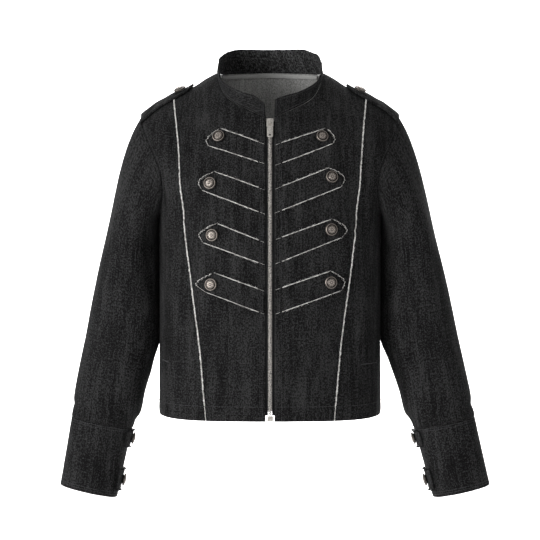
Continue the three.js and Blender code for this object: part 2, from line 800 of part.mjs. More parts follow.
function cuffNet(swingSign) {
  const start = CUFF_LEVEL + CUFF_SEAM;
  const last = SLEEVE.at(-1).level;
  const rings = Array.from({ length: STEPS.cuff + 1 }, (_, i) =>
    sleeveRing(blend(start, last, i / STEPS.cuff), swingSign),
  );
  return withNormals(rings, true);
}

// A net on the cuff around a level and the arm's inner side, for what is sewn on there.
function cuffPatch(level, halfLevel, halfAngle, swingSign, columns, rows) {
  const spread = THREE.MathUtils.degToRad(halfAngle);
  const points = Array.from({ length: rows + 1 }, (_, j) =>
    Array.from({ length: columns + 1 }, (__, i) =>
      sleevePoint(
        level + blend(-halfLevel, halfLevel, j / rows),
        Math.PI + blend(-spread, spread, i / columns),
        swingSign,
      ),
    ),
  );
  return withNormals(points, false);
}

function addSleeves() {
  const denim = finish(COLOURS.denim, 0.85);
  const tabCloth = finish(COLOURS.tab, 0.9);
  for (const [side, swingSign] of [["left", 1], ["right", -1]]) {
    addMesh(`sleeve_${side}`, layer(sided(sleeveNet(swingSign), side), 0, -CLOTH, true), denim);
    const cuff = layer(sided(cuffNet(swingSign), side), CUFF_PROUD, CUFF_PROUD - CUFF_CLOTH, true);
    addMesh(`cuff_${side}`, cuff, denim);
    CUFF_TAB.levels.forEach((level, i) => {
      const patch = cuffPatch(level, CUFF_TAB.halfLevel, CUFF_TAB.halfAngle, swingSign, 4, 2);
      const base = CUFF_PROUD + LIFT;
      const top = base + CUFF_TAB.cloth;
      addMesh(`cuff_tab_${i + 1}_${side}`, layer(sided(patch, side), top, base), tabCloth);
      const seat = sided(patch, side)[1][2];
      addButton(`cuff_button_${i + 1}_${side}`, along(seat, top + SEAM_GAP), seat.normal);
    });
  }
}

// Collar and neck tape

function necklineEdge() {
  const top = frontCentreNet.length - 1;
  const front = frontCentreNet[top].slice(0, STEPS.neckFront);
  const back = halfBackNet[top].slice(0, STEPS.neckBack).reverse();
  const sideNeck = middle(frontCentreNet[top][STEPS.neckFront], halfBackNet[top][STEPS.neckBack]);
  const below = (net, count) => net[top - 1].slice(0, count).map(({ point }) => point);
  const half = leadingOff(
    [...front, sideNeck, ...back],
    [
      ...below(frontCentreNet, STEPS.neckFront),
      frontCentreNet[top][STEPS.neckFront + 1].point,
      ...below(halfBackNet, STEPS.neckBack).reverse(),
    ],
    false,
  );
  half.at(-1).off.x = 0;
  const other = half.map(({ point, normal, off }) => ({
    point: mirrored(point),
    normal: mirrored(normal),
    off: mirrored(off),
  }));
  return [...half, ...other.reverse().slice(1)];
}

function collarTopEdge(edge) {
  const middleIndex = (edge.length - 1) / 2;
  const lengths = [0];
  for (let i = 1; i <= middleIndex; i++)
    lengths.push(lengths[i - 1] + edge[i].point.distanceTo(edge[i - 1].point));
  const at = ["x", "y", "z"].map((key) => profile(COLLAR_TOP, "along", key));
  return edge.map((_, i) => {
    const fromFront = Math.min(i, edge.length - 1 - i);
    const share = lengths[fromFront] / lengths[middleIndex];
    const [x, y, z] = at.map((curve) => curve(share));
    const side = i < middleIndex ? "left" : "right";
    const drop = fromFront === 0 ? COLLAR_CORNER_DROP[side] : 0;
    return new THREE.Vector3(side === "left" ? x : -x, y, z - drop);
  });
}

function addCollar() {
  const edge = necklineEdge();
  const topEdge = collarTopEdge(edge);
  const rows = Array.from({ length: STEPS.collar + 1 }, (_, j) =>
    edge.map(({ point }, i) => point.clone().lerp(topEdge[i], j / STEPS.collar)),
  );
  const outward = (net) =>
    net.map((row) =>
      row.map((spot) => {
        const away = new THREE.Vector3(spot.point.x, spot.point.y - COLLAR_CENTRE_Y, 0);
        return spot.normal.dot(away) < 0 ? { ...spot, normal: spot.normal.clone().negate() } : spot;
      }),
    );
  addMesh("collar", layer(outward(sewn(rows, edge, false)), 0, -COLLAR_CLOTH), finish(COLOURS.collar, 0.85));
}

function addNeckTape() {
  const top = halfBackNet.length - 1;
  const half = [NECK_TAPE.below + NECK_TAPE.height, NECK_TAPE.below].map((down) =>
    halfBackNet[top].slice(0, STEPS.neckBack).map((spot, i) => {
      const under = halfBackNet[top - 1][i];
      const share = down / spot.point.distanceTo(under.point);
      return {
        point: spot.point.clone().lerp(under.point, share),
        normal: spot.normal.clone().lerp(under.normal, share).normalize(),
      };
    }),
  );
  const net = half.map((row) => [...mirrorNet([row])[0].reverse().slice(0, -1), ...row]);
  const front = -(CLOTH + NECK_TAPE.gap);
  addMesh("neck_tape", layer(net, front, front - NECK_TAPE.cloth), finish(COLOURS.neckTape, 0.9));
}

// Tabs, buttons, epaulettes and princess trims

// A domed button on a shank, standing on a point along a normal.
function addButton(name, point, normal) {
  const { radius, shank, rise, rim, height, segments } = BUTTON;
  const outlinePoints = [
    [0, 0],
    [shank, 0],
    [shank, rise],
    [radius, rise],
    [radius, rim],
    [radius * BUTTON_SHOULDER.radius, height * BUTTON_SHOULDER.height],
    [0, height],
  ].map(([x, y]) => new THREE.Vector2(x, y));
  const lathe = new THREE.LatheGeometry(outlinePoints, segments);
  const button = addMesh(name, lathe, finish(COLOURS.button, 0.45, 0.9));
  button.position.copy(point);
  button.quaternion.setFromUnitVectors(new THREE.Vector3(0, 1, 0), normal);
}

function tabNet(tab) {
  const columns = 7;
  const rows = 3;
  const end = outline([
    { x: tab.heelX, z: tab.heelZ },
    { x: tab.tipX, z: tab.tipZ },
    { x: tab.cornerX, z: tab.cornerZ },
  ]);
  const outerEnd = Array.from({ length: rows + 1 }, (_, j) => end(j / rows));
  return outerEnd.map((tip, j) => {
    const startZ = blend(tab.innerBottom, tab.innerTop, j / rows);
    return Array.from({ length: columns + 1 }, (_, i) => {
      const share = i / columns;
      return frontAt(blend(TAB_INNER_X, tip.x, share), blend(startZ, tip.z, share));
    });
  });
}

function addTabs() {
  const tabCloth = finish(COLOURS.tab, 0.9);
  for (const tab of TABS) {
    const side = tab.name.split("_")[1];
    const net = sided(tabNet(tab), side);
    addMesh(`tab_${tab.name}`, layer(net, LIFT + CLOTH, LIFT), tabCloth);
    const seat = sided([[frontAt(tab.buttonX, tab.buttonZ)]], side)[0][0];
    addButton(`tab_button_${tab.name}`, along(seat, LIFT + CLOTH + BUTTON_GAP), seat.normal);
  }
}

// The body's height at a place near the shoulder ridge, found by halving.
function shoulderHeight(x, y) {
  const half = y < ridgeY(x) ? FRONT : BACK;
  let high = half.ridge(x);
  let low = high - SHOULDER_REACH;
  for (let pass = 0; pass < HALVINGS; pass++) {
    const z = (low + high) / 2;
    const beyond = half.sign * (bodyPoint(placeAt(x, z, half), half).y - y) > 0;
    if (beyond) low = z;
    else high = z;
  }
  return (low + high) / 2;
}

function shoulderSpot(x, y) {
  const step = 0.5;
  const slopeX = (shoulderHeight(x + step, y) - shoulderHeight(x - step, y)) / (2 * step);
  const slopeY = (shoulderHeight(x, y + step) - shoulderHeight(x, y - step)) / (2 * step);
  return {
    point: new THREE.Vector3(x, y, shoulderHeight(x, y)),
    normal: new THREE.Vector3(-slopeX, -slopeY, 1).normalize(),
  };
}

function addEpaulettes() {
  const { neckX, armX, half, neckHalf, tip, cloth, lift, buttonX, buttonY } = EPAULETTE;
  const columns = 8;
  const shares = [-1, -0.5, 0, 0.5, 1];
  const net = shares.map((share) =>
    Array.from({ length: columns + 1 }, (_, i) => {
      const x = blend(neckX, armX, i / columns) + (i === 0 ? tip * share * share : 0);
      const width = i < 2 ? blend(neckHalf, half, i / 2) : half;
      return shoulderSpot(x, ridgeY(x) + share * width);
    }),
  );
  const denim = finish(COLOURS.denim, 0.85);
  for (const side of ["left", "right"]) {
    addMesh(`epaulette_${side}`, layer(sided(net, side), lift + cloth, lift), denim);
    const seat = sided([[shoulderSpot(buttonX, ridgeY(buttonX) + buttonY)]], side)[0][0];
    addButton(`epaulette_button_${side}`, along(seat, lift + cloth + BUTTON_GAP), seat.normal);
  }
}

function addTrims() {
  const centre = princessEdge(0).slice(0, -1);
  const net = centre.map((place) => {
    const { point } = onBody(place, FRONT);
    return [-TRIM.width / 2, TRIM.width / 2].map((offset) => {
      const edge = placeAt(point.x + offset, Math.min(point.z, FRONT.ridge(point.x + offset)), FRONT);
      return onBody({ angle: edge.angle, rise: place.rise }, FRONT);
    });
  });
  for (const side of ["left", "right"]) {
    const strip = layer(sided(net, side), LIFT + TRIM.cloth, LIFT);
    addMesh(`princess_trim_${side}`, strip, finish(COLOURS.fray, 0.95));
  }
}

// Zip

function zipNet(fromX, toX) {
  return Array.from({ length: ZIP.steps + 1 }, (_, j) => {
    const z = blend(ZIP.bottomZ, ZIP.topZ, j / ZIP.steps);
    return [fromX, toX].map((x) => frontAt(x, z));
  });
}

// A prism of a closed outline in the slider's y and z, centred on the zip.
function sliderPrism(corners, width) {
  const shape = new THREE.Shape(corners.map(([y, z]) => new THREE.Vector2(y, z)));
  const prism = new THREE.ExtrudeGeometry(shape, { depth: width, bevelEnabled: false });
  prism.translate(0, 0, -width / 2);
  // Turns the drawing's x, y and depth to the slider's y, z and x.
  prism.applyMatrix4(new THREE.Matrix4().set(0, 0, 1, 0, 1, 0, 0, 0, 0, 1, 0, 0, 0, 0, 0, 1));
  return prism;
}

function pullGeometry() {
  const { width, length, cloth, bar, corner, slotHalf, slotEnd, hole, holeEnd } = PULL;
  const half = width / 2;
  const shape = new THREE.Shape();
  shape.moveTo(-half + corner, bar);
  shape.lineTo(-half, bar - corner);
  shape.lineTo(-half, -length + corner);
  shape.lineTo(-half + corner, -length);
  shape.lineTo(half - corner, -length);
  shape.lineTo(half, -length + corner);
  shape.lineTo(half, bar - corner);
  shape.lineTo(half - corner, bar);
  shape.closePath();
  const slot = new THREE.Path();
  slot.moveTo(-slotHalf, -bar);
  slot.lineTo(slotHalf, -bar);
  slot.lineTo(slotHalf, -slotEnd);
  slot.lineTo(-slotHalf, -slotEnd);
  slot.closePath();
  const round = new THREE.Path();
  round.absarc(0, -length + holeEnd, hole, 0, 2 * Math.PI);
  shape.holes.push(slot, round);
  const plate = new THREE.ExtrudeGeometry(shape, { depth: cloth, bevelEnabled: false, curveSegments: 10 });
  plate.translate(0, 0, -cloth / 2);
  plate.rotateX(Math.PI / 2);
  return plate;
}

function addZip() {
  const chain = finish(COLOURS.chain, 0.4, 0.9);
  const tape = finish(COLOURS.tape, 0.9);
  const tapeFront = -(HEM_CLOTH + LIFT);
  for (const side of ["left", "right"]) {
    const teeth = sided(zipNet(ZIP.chainInner, ZIP.chainOuter), side);
    addMesh(`zip_chain_${side}`, layer(teeth, ZIP.chainFront, -ZIP.chainBack), chain);
    const cloth = sided(zipNet(ZIP.tapeInner, ZIP.tapeOuter), side);
    const depth = (row) => (row < 2 ? tapeFront : -(CLOTH + LIFT)) - ZIP.tapeCloth;
    const outer = cloth.map((row, j) => row.map((spot) => along(spot, depth(j) + ZIP.tapeCloth)));
    const inner = cloth.map((row, j) => row.map((spot) => along(spot, depth(j))));
    addMesh(`zip_tape_${side}`, wallGeometry(outer, inner), tape);
  }

  const seat = frontAt(0, ZIP.sliderZ);
  const slider = new THREE.Group();
  slider.position.set(0, seat.point.y, seat.point.z);
  slider.rotation.x = -Math.atan2(seat.normal.z, -seat.normal.y);
  jacket.add(slider);
  const { top, plateFront, plateBack, wedge, innerFront, innerBack } = SLIDER;
  const { archTop, archPost, archUnder, archOver } = SLIDER;
  const body = sliderPrism(
    [
      [plateFront, -top],
      [plateBack, -top],
      [plateBack, wedge],
      [innerFront, wedge],
      [innerFront, -top],
      [innerBack, -top],
      [innerBack, top],
      [plateFront, top],
    ],
    SLIDER.width,
  );
  const archFoot = (plateFront + plateBack) / 2;
  const arch = sliderPrism(
    [
      [archFoot, -archTop],
      [archOver, -archTop],
      [archOver, archTop],
      [archFoot, archTop],
      [archFoot, archTop - archPost],
      [archUnder, archTop - archPost],
      [archUnder, -archTop + archPost],
      [archFoot, -archTop + archPost],
    ],
    2 * SLIDER.archHalf,
  );
  addMesh("zip_slider", joined(body, arch), finish(COLOURS.pull, 0.4, 0.9), slider);
  const pull = addMesh("zip_pull", pullGeometry(), finish(COLOURS.pull, 0.4, 0.9), slider);
  pull.position.y = PULL_PIVOT_Y;

  const { half, top: boxTop, bottom, front, back } = ZIP_BOX;
  const box = new THREE.BoxGeometry(2 * half, front + back, boxTop - bottom);
  const stop = addMesh("zip_box", box, finish(COLOURS.pull, 0.4, 0.9));
  stop.position.set(0, frontAt(0, bottom).point.y + (back - front) / 2, (boxTop + bottom) / 2);
}

addBody();
addSleeves();
addCollar();
addNeckTape();
addTabs();
addEpaulettes();
addTrims();
addZip();

export default jacket;
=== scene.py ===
import logging
import math
from dataclasses import dataclass, field
from enum import Enum
from typing import Callable, Sequence

import bmesh
import bpy
import numpy as np
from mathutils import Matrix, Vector


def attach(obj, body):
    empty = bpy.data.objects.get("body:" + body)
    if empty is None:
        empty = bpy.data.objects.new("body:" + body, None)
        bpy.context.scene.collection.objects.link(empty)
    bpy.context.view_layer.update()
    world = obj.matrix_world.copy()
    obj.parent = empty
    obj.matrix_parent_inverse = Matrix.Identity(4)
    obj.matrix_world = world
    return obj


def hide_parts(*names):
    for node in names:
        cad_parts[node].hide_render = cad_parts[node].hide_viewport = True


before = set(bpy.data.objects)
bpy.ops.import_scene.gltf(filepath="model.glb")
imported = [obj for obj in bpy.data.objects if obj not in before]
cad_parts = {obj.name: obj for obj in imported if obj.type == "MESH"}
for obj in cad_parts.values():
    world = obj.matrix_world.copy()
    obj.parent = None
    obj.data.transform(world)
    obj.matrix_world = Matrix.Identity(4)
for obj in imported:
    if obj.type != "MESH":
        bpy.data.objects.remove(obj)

# A cropped black denim jacket in its worn form. Sizes are in millimetres up to the meshes, which
# are in metres. +X is the wearer's left, the front faces -Y and +Z is up.

log = logging.getLogger("jacket")
METRES = 0.001
SEED = 7

# Driving dimensions
HEM_Z = -541.0
HEM_SIDE_RISE = 5.0
HEM_DEPTH = 23.0
ARCH_Z = -230.0
ARCH_SPAN = 230.0
UNDERARM_Z = -224.0
FRONT_EDGE_X = 7.0
SHOULDER_SEAM_X = 86.0
PRINCESS_TOP_X = 154.0
SHOULDER_END_X = 207.0
RIDGE_END_X = 209.0
SECTION_POWER = 2.5
SLEEVE_POWER = 2.2
CLOTH = 1.6
HEM_CLOTH = 3.0
CUFF_CLOTH = 2.2
CUFF_PROUD = 0.5
COLLAR_CLOTH = 2.4
SEAM_GAP = 0.3
SEAM_HALF = 0.18
LIFT = 0.6
EDGE_ROLL = 1.1
ROWS_BELOW = 13
ROWS_ARMHOLE = 10
NECK_FRONT = 7
NECK_BACK = 4
SHOULDER_INNER = 3
SHOULDER_OUTER = 6

BODY_WIDTH = [(-541, 174.5), (-530, 176.5), (-500, 176.5), (-350, 176.5), (-230, 178), (-180, 190),
              (-120, 215), (-70, 232), (-40, 240), (60, 240)]
BODY_DEPTH = [(-541, 113, 98), (-420, 113, 96), (-230, 117, 105), (60, 117, 105)]
RIDGE = [(0, 40, 75), (40, 32, 62), (86, 10, 10), (104, 0, 0), (120, -11, -11), (150, -25, -25),
         (178, -41, -41), (198, -55, -55), (209, -66, -66), (225, -85, -85)]
NECKLINE_FRONT = [(7, -69), (29.5, -58), (57, -44), (72, -30), (80, -13), (86, 10)]
NECKLINE_BACK = [(0, 17), (30, 16), (60, 14), (78, 11), (86, 10)]
PRINCESS = [(-541, 99), (-503, 102.4), (-432, 108.6), (-384, 115), (-263, 130), (-190, 137.3),
            (-97, 145), (-27, 154)]
ARMHOLE_FRONT = [(178.1, -224), (170.5, -207), (168.5, -185), (171, -160), (177, -140),
                 (187, -118), (198, -92), (207, -64)]
ARMHOLE_BACK = [(178.1, -224), (177, -207), (180, -185), (185, -160), (192, -130), (200, -98),
                (207, -64)]
# level: outer x, outer z, inner z, half depth, centre y, swing
SLEEVE = [(0, 263, -250, -272, 70, 4, 1.2), (1, 285, -350, -374, 60, 2, 2),
          (2, 302, -428, -452, 51, 0, 3), (3, 317, -505, -527, 46, -8, 4),
          (4, 320, -539, -558, 43, -16, 5), (5, 339.5, -646, -666, 38, -28, 8)]
# level: inner x; the upper arm lies against the body's side
SLEEVE_INNER = [(0, 178.7), (1, 177.7), (1.55, 178.2), (1.75, 181.4), (2, 188), (3, 208), (4, 224), (5, 251)]
SWING_LEVELS = (1.5, 2.2)
CUFF_LEVEL = 4.0
CUFF_END = 5.0
# level, degrees around (0 outside, 90 front), depth, length
SLEEVE_FOLDS = [(0.5, 118, 3, 0.3), (1.2, 100, 2.5, 0.3), (1.9, 60, 2, 0.35), (2.6, 170, 3, 0.35),
                (3.4, 20, 2.5, 0.3), (1.5, 270, 3, 0.4)]
COLLAR_TOP = [(0, 8, -70, -36), (0.127, 39, -64, -29.5), (0.245, 63, -50, -18), (0.35, 78, -32, -5),
              (0.447, 83, -16, 13), (0.556, 81, 4, 32), (0.64, 75, 22, 41.5), (0.777, 54, 46, 51.5),
              (0.89, 28, 59, 53), (1, 0, 62, 53)]
# inner end's top and bottom, corner, tip, heel and button, as seen from the front
TABS = {
    "1_right": (-112.7, -143.1, (77.6, -87.1), (98, -105), (95.4, -113.9), (79.5, -100.4)),
    "2_right": (-184.1, -220.8, (86, -155.5), (108.2, -171), (104.3, -183.9), (92.3, -173.7)),
    "3_right": (-265, -298.7, (82, -235.3), (106.9, -252), (103.1, -264.2), (88.3, -253.1)),
    "4_right": (-339.9, -374.7, (86, -311.5), (112, -329), (99.2, -340.7), (90.3, -329.3)),
    "1_left": (-113.9, -145.7, (86, -87.5), (99.1, -104), (97.2, -111.3), (80.2, -101.1)),
    "2_left": (-182.8, -219, (90, -150), (113.4, -166), (108.8, -178.7), (94.6, -164.1)),
    "3_left": (-260.4, -297.3, (96, -228.5), (116.3, -245), (110, -256.5), (93.4, -244.5)),
    "4_left": (-337.8, -374.7, (93, -308.8), (113, -325), (110, -338.2), (92.6, -326.2)),
}
TAB_INNER_X = 8.5
CUFF_TAB_LEVELS = (4.18, 4.755)

Array = np.ndarray


class Side(Enum):
    """The wearer's side that a piece is on, with the sign of its x."""
    LEFT = 1
    RIGHT = -1

    @property
    def label(self) -> str:
        """The side's word in piece names."""
        return self.name.lower()

    @property
    def flip(self) -> np.ndarray:
        """Factors that mirror a wearer's-left point onto the side."""
        return np.array([self.value, 1.0, 1.0])


class Slot(str, Enum):
    """The record's material slots."""
    BLACK_DENIM = "black_denim"
    TAB_DENIM = "tab_denim"
    WHITE_FRAY = "white_fray"
    NECK_TAPE = "neck_tape"
    ZIP_TAPE = "zip_tape"
    ZIP_METAL = "zip_metal"
    BUTTON_METAL = "button_metal"


class Body(str, Enum):
    """The record's moving bodies."""
    GARMENT = "garment"
    PULL = "zip_pull"


def blend(a: Array, b: Array, share: Array) -> Array:
    """Linear blend from a to b."""
    return a + (b - a) * share


def smooth(low: float, high: float, at: Array) -> Array:
    """Smooth step from 0 at low to 1 at high."""
    share = np.clip((at - low) / (high - low), 0, 1)
    return share * share * (3 - 2 * share)


def signed_power(value: Array, power: float) -> Array:
    """Power of the size that keeps the sign."""
    return np.sign(value) * np.abs(value) ** power


def unit(vectors: Array) -> Array:
    """Vectors scaled to length 1."""
    return vectors / np.maximum(np.linalg.norm(vectors, axis=-1, keepdims=True), 1e-12)


def run_length(points: Array) -> Array:
    """Length along a path up to each of its points."""
    return np.concatenate([[0], np.cumsum(np.linalg.norm(np.diff(points, axis=0), axis=1))])


def hermite(start: Array, end: Array, slope_start: Array, slope_end: Array, s: Array) -> Array:
    """Cubic between two values with given slopes.

    Args:
        start: Value at s = 0.
        end: Value at s = 1.
        slope_start: Slope at s = 0.
        slope_end: Slope at s = 1.
        s: Where to evaluate, 0 to 1.

    Returns:
        The cubic's value.
    """
    square, cube = s * s, s * s * s
    return (start * (2 * cube - 3 * square + 1) + slope_start * (cube - 2 * square + s)
            + end * (3 * square - 2 * cube) + slope_end * (cube - square))


class Profile:
    """Smooth curve through a table's points; it stays level past the ends."""

    def __init__(self, keys: Sequence[float], values: Sequence[float]) -> None:
        """Takes rising keys and their values."""
        self.keys = np.asarray(keys, float)
        self.values = np.asarray(values, float)
        steps = np.arange(len(self.keys))
        low, high = np.maximum(steps - 1, 0), np.minimum(steps + 1, len(steps) - 1)
        self.slopes = (self.values[high] - self.values[low]) / (self.keys[high] - self.keys[low])

    def __call__(self, at: Array) -> Array:
        """The curve's value."""
        x = np.clip(at, self.keys[0], self.keys[-1])
        i = np.clip(np.searchsorted(self.keys, x, side="left") - 1, 0, len(self.keys) - 2)
        span = self.keys[i + 1] - self.keys[i]
        return hermite(self.values[i], self.values[i + 1], self.slopes[i] * span,
                       self.slopes[i + 1] * span, (x - self.keys[i]) / span)


class Outline:
    """Smooth curve through points, as a function of the share of its length."""

    def __init__(self, rows: Sequence[tuple[float, float]]) -> None:
        """Takes the curve's x and z points in order."""
        points = np.asarray(rows, float)
        at = run_length(points)
        self.x = Profile(at / at[-1], points[:, 0])
        self.z = Profile(at / at[-1], points[:, 1])

    def __call__(self, share: Array) -> tuple[Array, Array]:
        """The curve's x and z."""
        return self.x(share), self.z(share)


def column(rows: Sequence[Sequence[float]], value: int) -> Profile:
    """Profile of a table's column against its first one."""
    return Profile([row[0] for row in rows], [row[value] for row in rows])


body_half = column(BODY_WIDTH, 1)
princess_x = column(PRINCESS, 1)


def ridge_y(x: Array) -> Array:
    """The shoulder ridge's y, which runs forwards to the shoulder end."""
    share = np.clip((x - SHOULDER_SEAM_X) / (RIDGE_END_X - SHOULDER_SEAM_X), 0, 1)
    return blend(18.0, 0.0, share)


@dataclass(frozen=True)
class BodyHalf:
    """The front or back half of the body's surface.

    A place on it is an angle from the centre line, 90 degrees at the side, and a rise, which is 0
    where the arch starts and 90 degrees on the shoulder ridge.
    """
    sign: float
    ridge: Profile
    depth: Profile
    arch_power: float

    def place(self, x: Array, z: Array) -> tuple[Array, Array]:
        """The angle and rise of a point seen from the front."""
        x, z = np.broadcast_arrays(np.asarray(x, float), np.asarray(z, float))
        angle = np.arcsin(np.clip(x / body_half(z), 0, 1) ** (SECTION_POWER / 2))
        share = np.clip((z - ARCH_Z) / (self.ridge(x) - ARCH_Z), 0, 1)
        return angle, np.where(z < ARCH_Z, (z - ARCH_Z) / ARCH_SPAN, np.arcsin(share))

    def point(self, angle: Array, rise: Array) -> Array:
        """The surface's point at a place."""
        angle, rise = np.broadcast_arrays(np.asarray(angle, float), np.asarray(rise, float))
        across = np.maximum(np.sin(angle), 0) ** (2 / SECTION_POWER)
        fore = np.maximum(np.cos(angle), 0) ** (2 / SECTION_POWER)
        z = ARCH_Z + ARCH_SPAN * np.minimum(rise, 0)
        arched = rise > 0
        for _ in range(14):
            high = blend(ARCH_Z, self.ridge(body_half(z) * across), np.sin(rise))
            z = np.where(arched, high, z)
        x = body_half(z) * across
        t = np.sin(np.clip(rise, 0, math.pi / 2))
        arch = np.maximum(0, 1 - t ** self.arch_power) ** (1 / self.arch_power)
        y = self.sign * (self.depth(z) * fore * arch + SEAM_GAP / 2) + ridge_y(x) * t * t
        return np.stack([x, y, z], axis=-1)

    def normal(self, angle: Array, rise: Array) -> Array:
        """The surface's outward normal at a place."""
        step = 1e-4
        angle = np.clip(angle, step, math.pi / 2 - step)
        rise = np.minimum(rise, math.pi / 2 - step)
        across = self.point(angle + step, rise) - self.point(angle - step, rise)
        up = self.point(angle, rise + step) - self.point(angle, rise - step)
        return -self.sign * unit(np.cross(across, up))

    def spaced(self, curve: Callable[[Array], tuple[Array, Array]], shares: Array) -> Array:
        """Places at given shares of a curve's length.

        Args:
            curve: Angle and rise against a parameter from 0 to 1.
            shares: Shares of the curve's length.

        Returns:
            Angles and rises, one row per share.
        """
        along = np.linspace(0, 1, 401)
        points = self.point(*curve(along))
        lengths = run_length(points)
        angle, rise = curve(np.interp(np.asarray(shares) * lengths[-1], lengths, along))
        return np.stack([angle, rise], axis=-1)


FRONT = BodyHalf(-1.0, column(RIDGE, 1), column(BODY_DEPTH, 1), 1.6)
BACK = BodyHalf(1.0, column(RIDGE, 2), column(BODY_DEPTH, 2), 2.2)


def hem_place(angle: Array) -> Array:
    """Places on the hem at given angles."""
    rise = HEM_SIDE_RISE * np.sin(angle) ** 6
    return np.stack([angle, (HEM_Z + rise - ARCH_Z) / ARCH_SPAN], axis=-1)


def shoulder_place(x: Array, half: BodyHalf) -> Array:
    """Places on the shoulder ridge at given x."""
    angle, _ = half.place(x, half.ridge(x))
    return np.stack([angle, np.full_like(angle, math.pi / 2)], axis=-1)


def verticals(lower: Callable, upper: Callable, rows: Array, half: BodyHalf) -> Array:
    """Places up an edge that is split at the underarm.

    Args:
        lower: Curve from the hem to the underarm's height.
        upper: Curve from there up.
        rows: Row numbers, the hem's 0 and the underarm's ROWS_BELOW.
        half: The body's half.

    Returns:
        One place per row.
    """
    below = rows <= ROWS_BELOW
    return np.concatenate([half.spaced(lower, rows[below] / ROWS_BELOW),
                           half.spaced(upper, (rows[~below] - ROWS_BELOW) / ROWS_ARMHOLE)])


def edge_at_x(x_at: Callable, low: float, high: float, half: BodyHalf) -> Callable:
    """Curve of places at an x that depends on z, between two heights."""
    def curve(share: Array) -> tuple[Array, Array]:
        """Place at a share of the heights."""
        z = blend(low, high, share)
        return half.place(x_at(z), z)
    return curve


def princess_edge(offset: float, rows: Array) -> Array:
    """Places up the front princess seam, moved sideways by an offset in x."""
    top = float(FRONT.ridge(PRINCESS_TOP_X))
    base = float(FRONT.place(princess_x(UNDERARM_Z) + offset, UNDERARM_Z)[1])

    def upper(share: Array) -> tuple[Array, Array]:
        """Place between the underarm's height and the shoulder."""
        rise = blend(base, math.pi / 2, share)
        z = blend(ARCH_Z, top, np.sin(np.maximum(rise, 0)))
        return FRONT.place(princess_x(z) + offset, z)[0], rise

    lower = edge_at_x(lambda z: princess_x(z) + offset, HEM_Z, UNDERARM_Z, FRONT)
    places = verticals(lower, upper, rows, FRONT)
    places[0] = hem_place(places[0, 0])
    if rows[-1] == ROWS_BELOW + ROWS_ARMHOLE:
        places[-1] = shoulder_place(PRINCESS_TOP_X + offset, FRONT)
    return places


def side_edge(half: BodyHalf, armhole: Sequence[tuple[float, float]], rows: Array) -> Array:
    """Places up the side seam and the armhole."""
    low = float(hem_place(math.pi / 2)[1])
    high = float(half.place(armhole[0][0], UNDERARM_Z)[1])
    curve = Outline(armhole)

    def upper(share: Array) -> tuple[Array, Array]:
        """Place on the armhole."""
        angle, rise = half.place(*curve(share))
        angle = np.where(share == 0, math.pi / 2, angle)
        return angle, rise

    places = verticals(lambda s: (np.full_like(s, math.pi / 2), blend(low, high, s)), upper, rows, half)
    places[-1] = shoulder_place(SHOULDER_END_X, half)
    return places


def neckline_places(rows: Sequence[tuple[float, float]], shares: Array, half: BodyHalf) -> Array:
    """Places along a neckline at shares of its length."""
    curve = Outline(rows)
    places = half.spaced(lambda s: half.place(*curve(s)), shares)
    places[shares >= 1] = shoulder_place(SHOULDER_SEAM_X, half)
    return places


def fill_edges(bottom: Array, top: Array, left: Array, right: Array, u: Array, v: Array) -> Array:
    """Fills a panel's four edges with a smooth net of places.

    Args:
        bottom: Places per column along the lower edge.
        top: Places per column along the upper edge.
        left: Places per row up the first edge.
        right: Places per row up the last edge.
        u: Share of each column, 0 to 1.
        v: Share of each row, 0 to 1.

    Returns:
        Places as rows by columns by 2.
    """
    u, v = u[None, :, None], v[:, None, None]
    corners = blend(blend(left[0], right[0], u), blend(left[-1], right[-1], u), v)
    net = blend(bottom[None], top[None], v) + blend(left[:, None], right[:, None], u) - corners
    net[..., 0] = np.clip(net[..., 0], 0, math.pi / 2)
    net[..., 1] = np.minimum(net[..., 1], math.pi / 2)
    return net


def close_steps(count: int, fine: int, close: Sequence[float] = (0.02, 0.05, 0.09, 0.14)) -> Array:
    """Steps from 0 to a count in units, finer by a factor and closer together at both ends."""
    steps = np.linspace(0, count, count * fine + 1)
    ends = np.asarray(close)
    return np.unique(np.concatenate([steps, ends, count - ends]).round(6))


ROWS = close_steps(ROWS_BELOW + ROWS_ARMHOLE, 6, (0.012, 0.03, 0.06))

# Creases


@dataclass(frozen=True)
class Crease:
    """A soft trough or ridge on the body as seen from the front, with x to the wearer's left."""
    x: float
    z: float
    lean: float
    length: float
    width: float
    depth: float
    bend: float = 0.0

    def height(self, x: Array, z: Array) -> Array:
        """How far the crease moves the cloth outwards."""
        turn = math.radians(self.lean)
        across = (x - self.x) * math.cos(turn) + (z - self.z) * math.sin(turn)
        along = (z - self.z) * math.cos(turn) - (x - self.x) * math.sin(turn)
        across = across + self.bend * (along / self.length) ** 2
        return self.depth * np.exp(-(across / self.width) ** 2 - (along / self.length) ** 2)


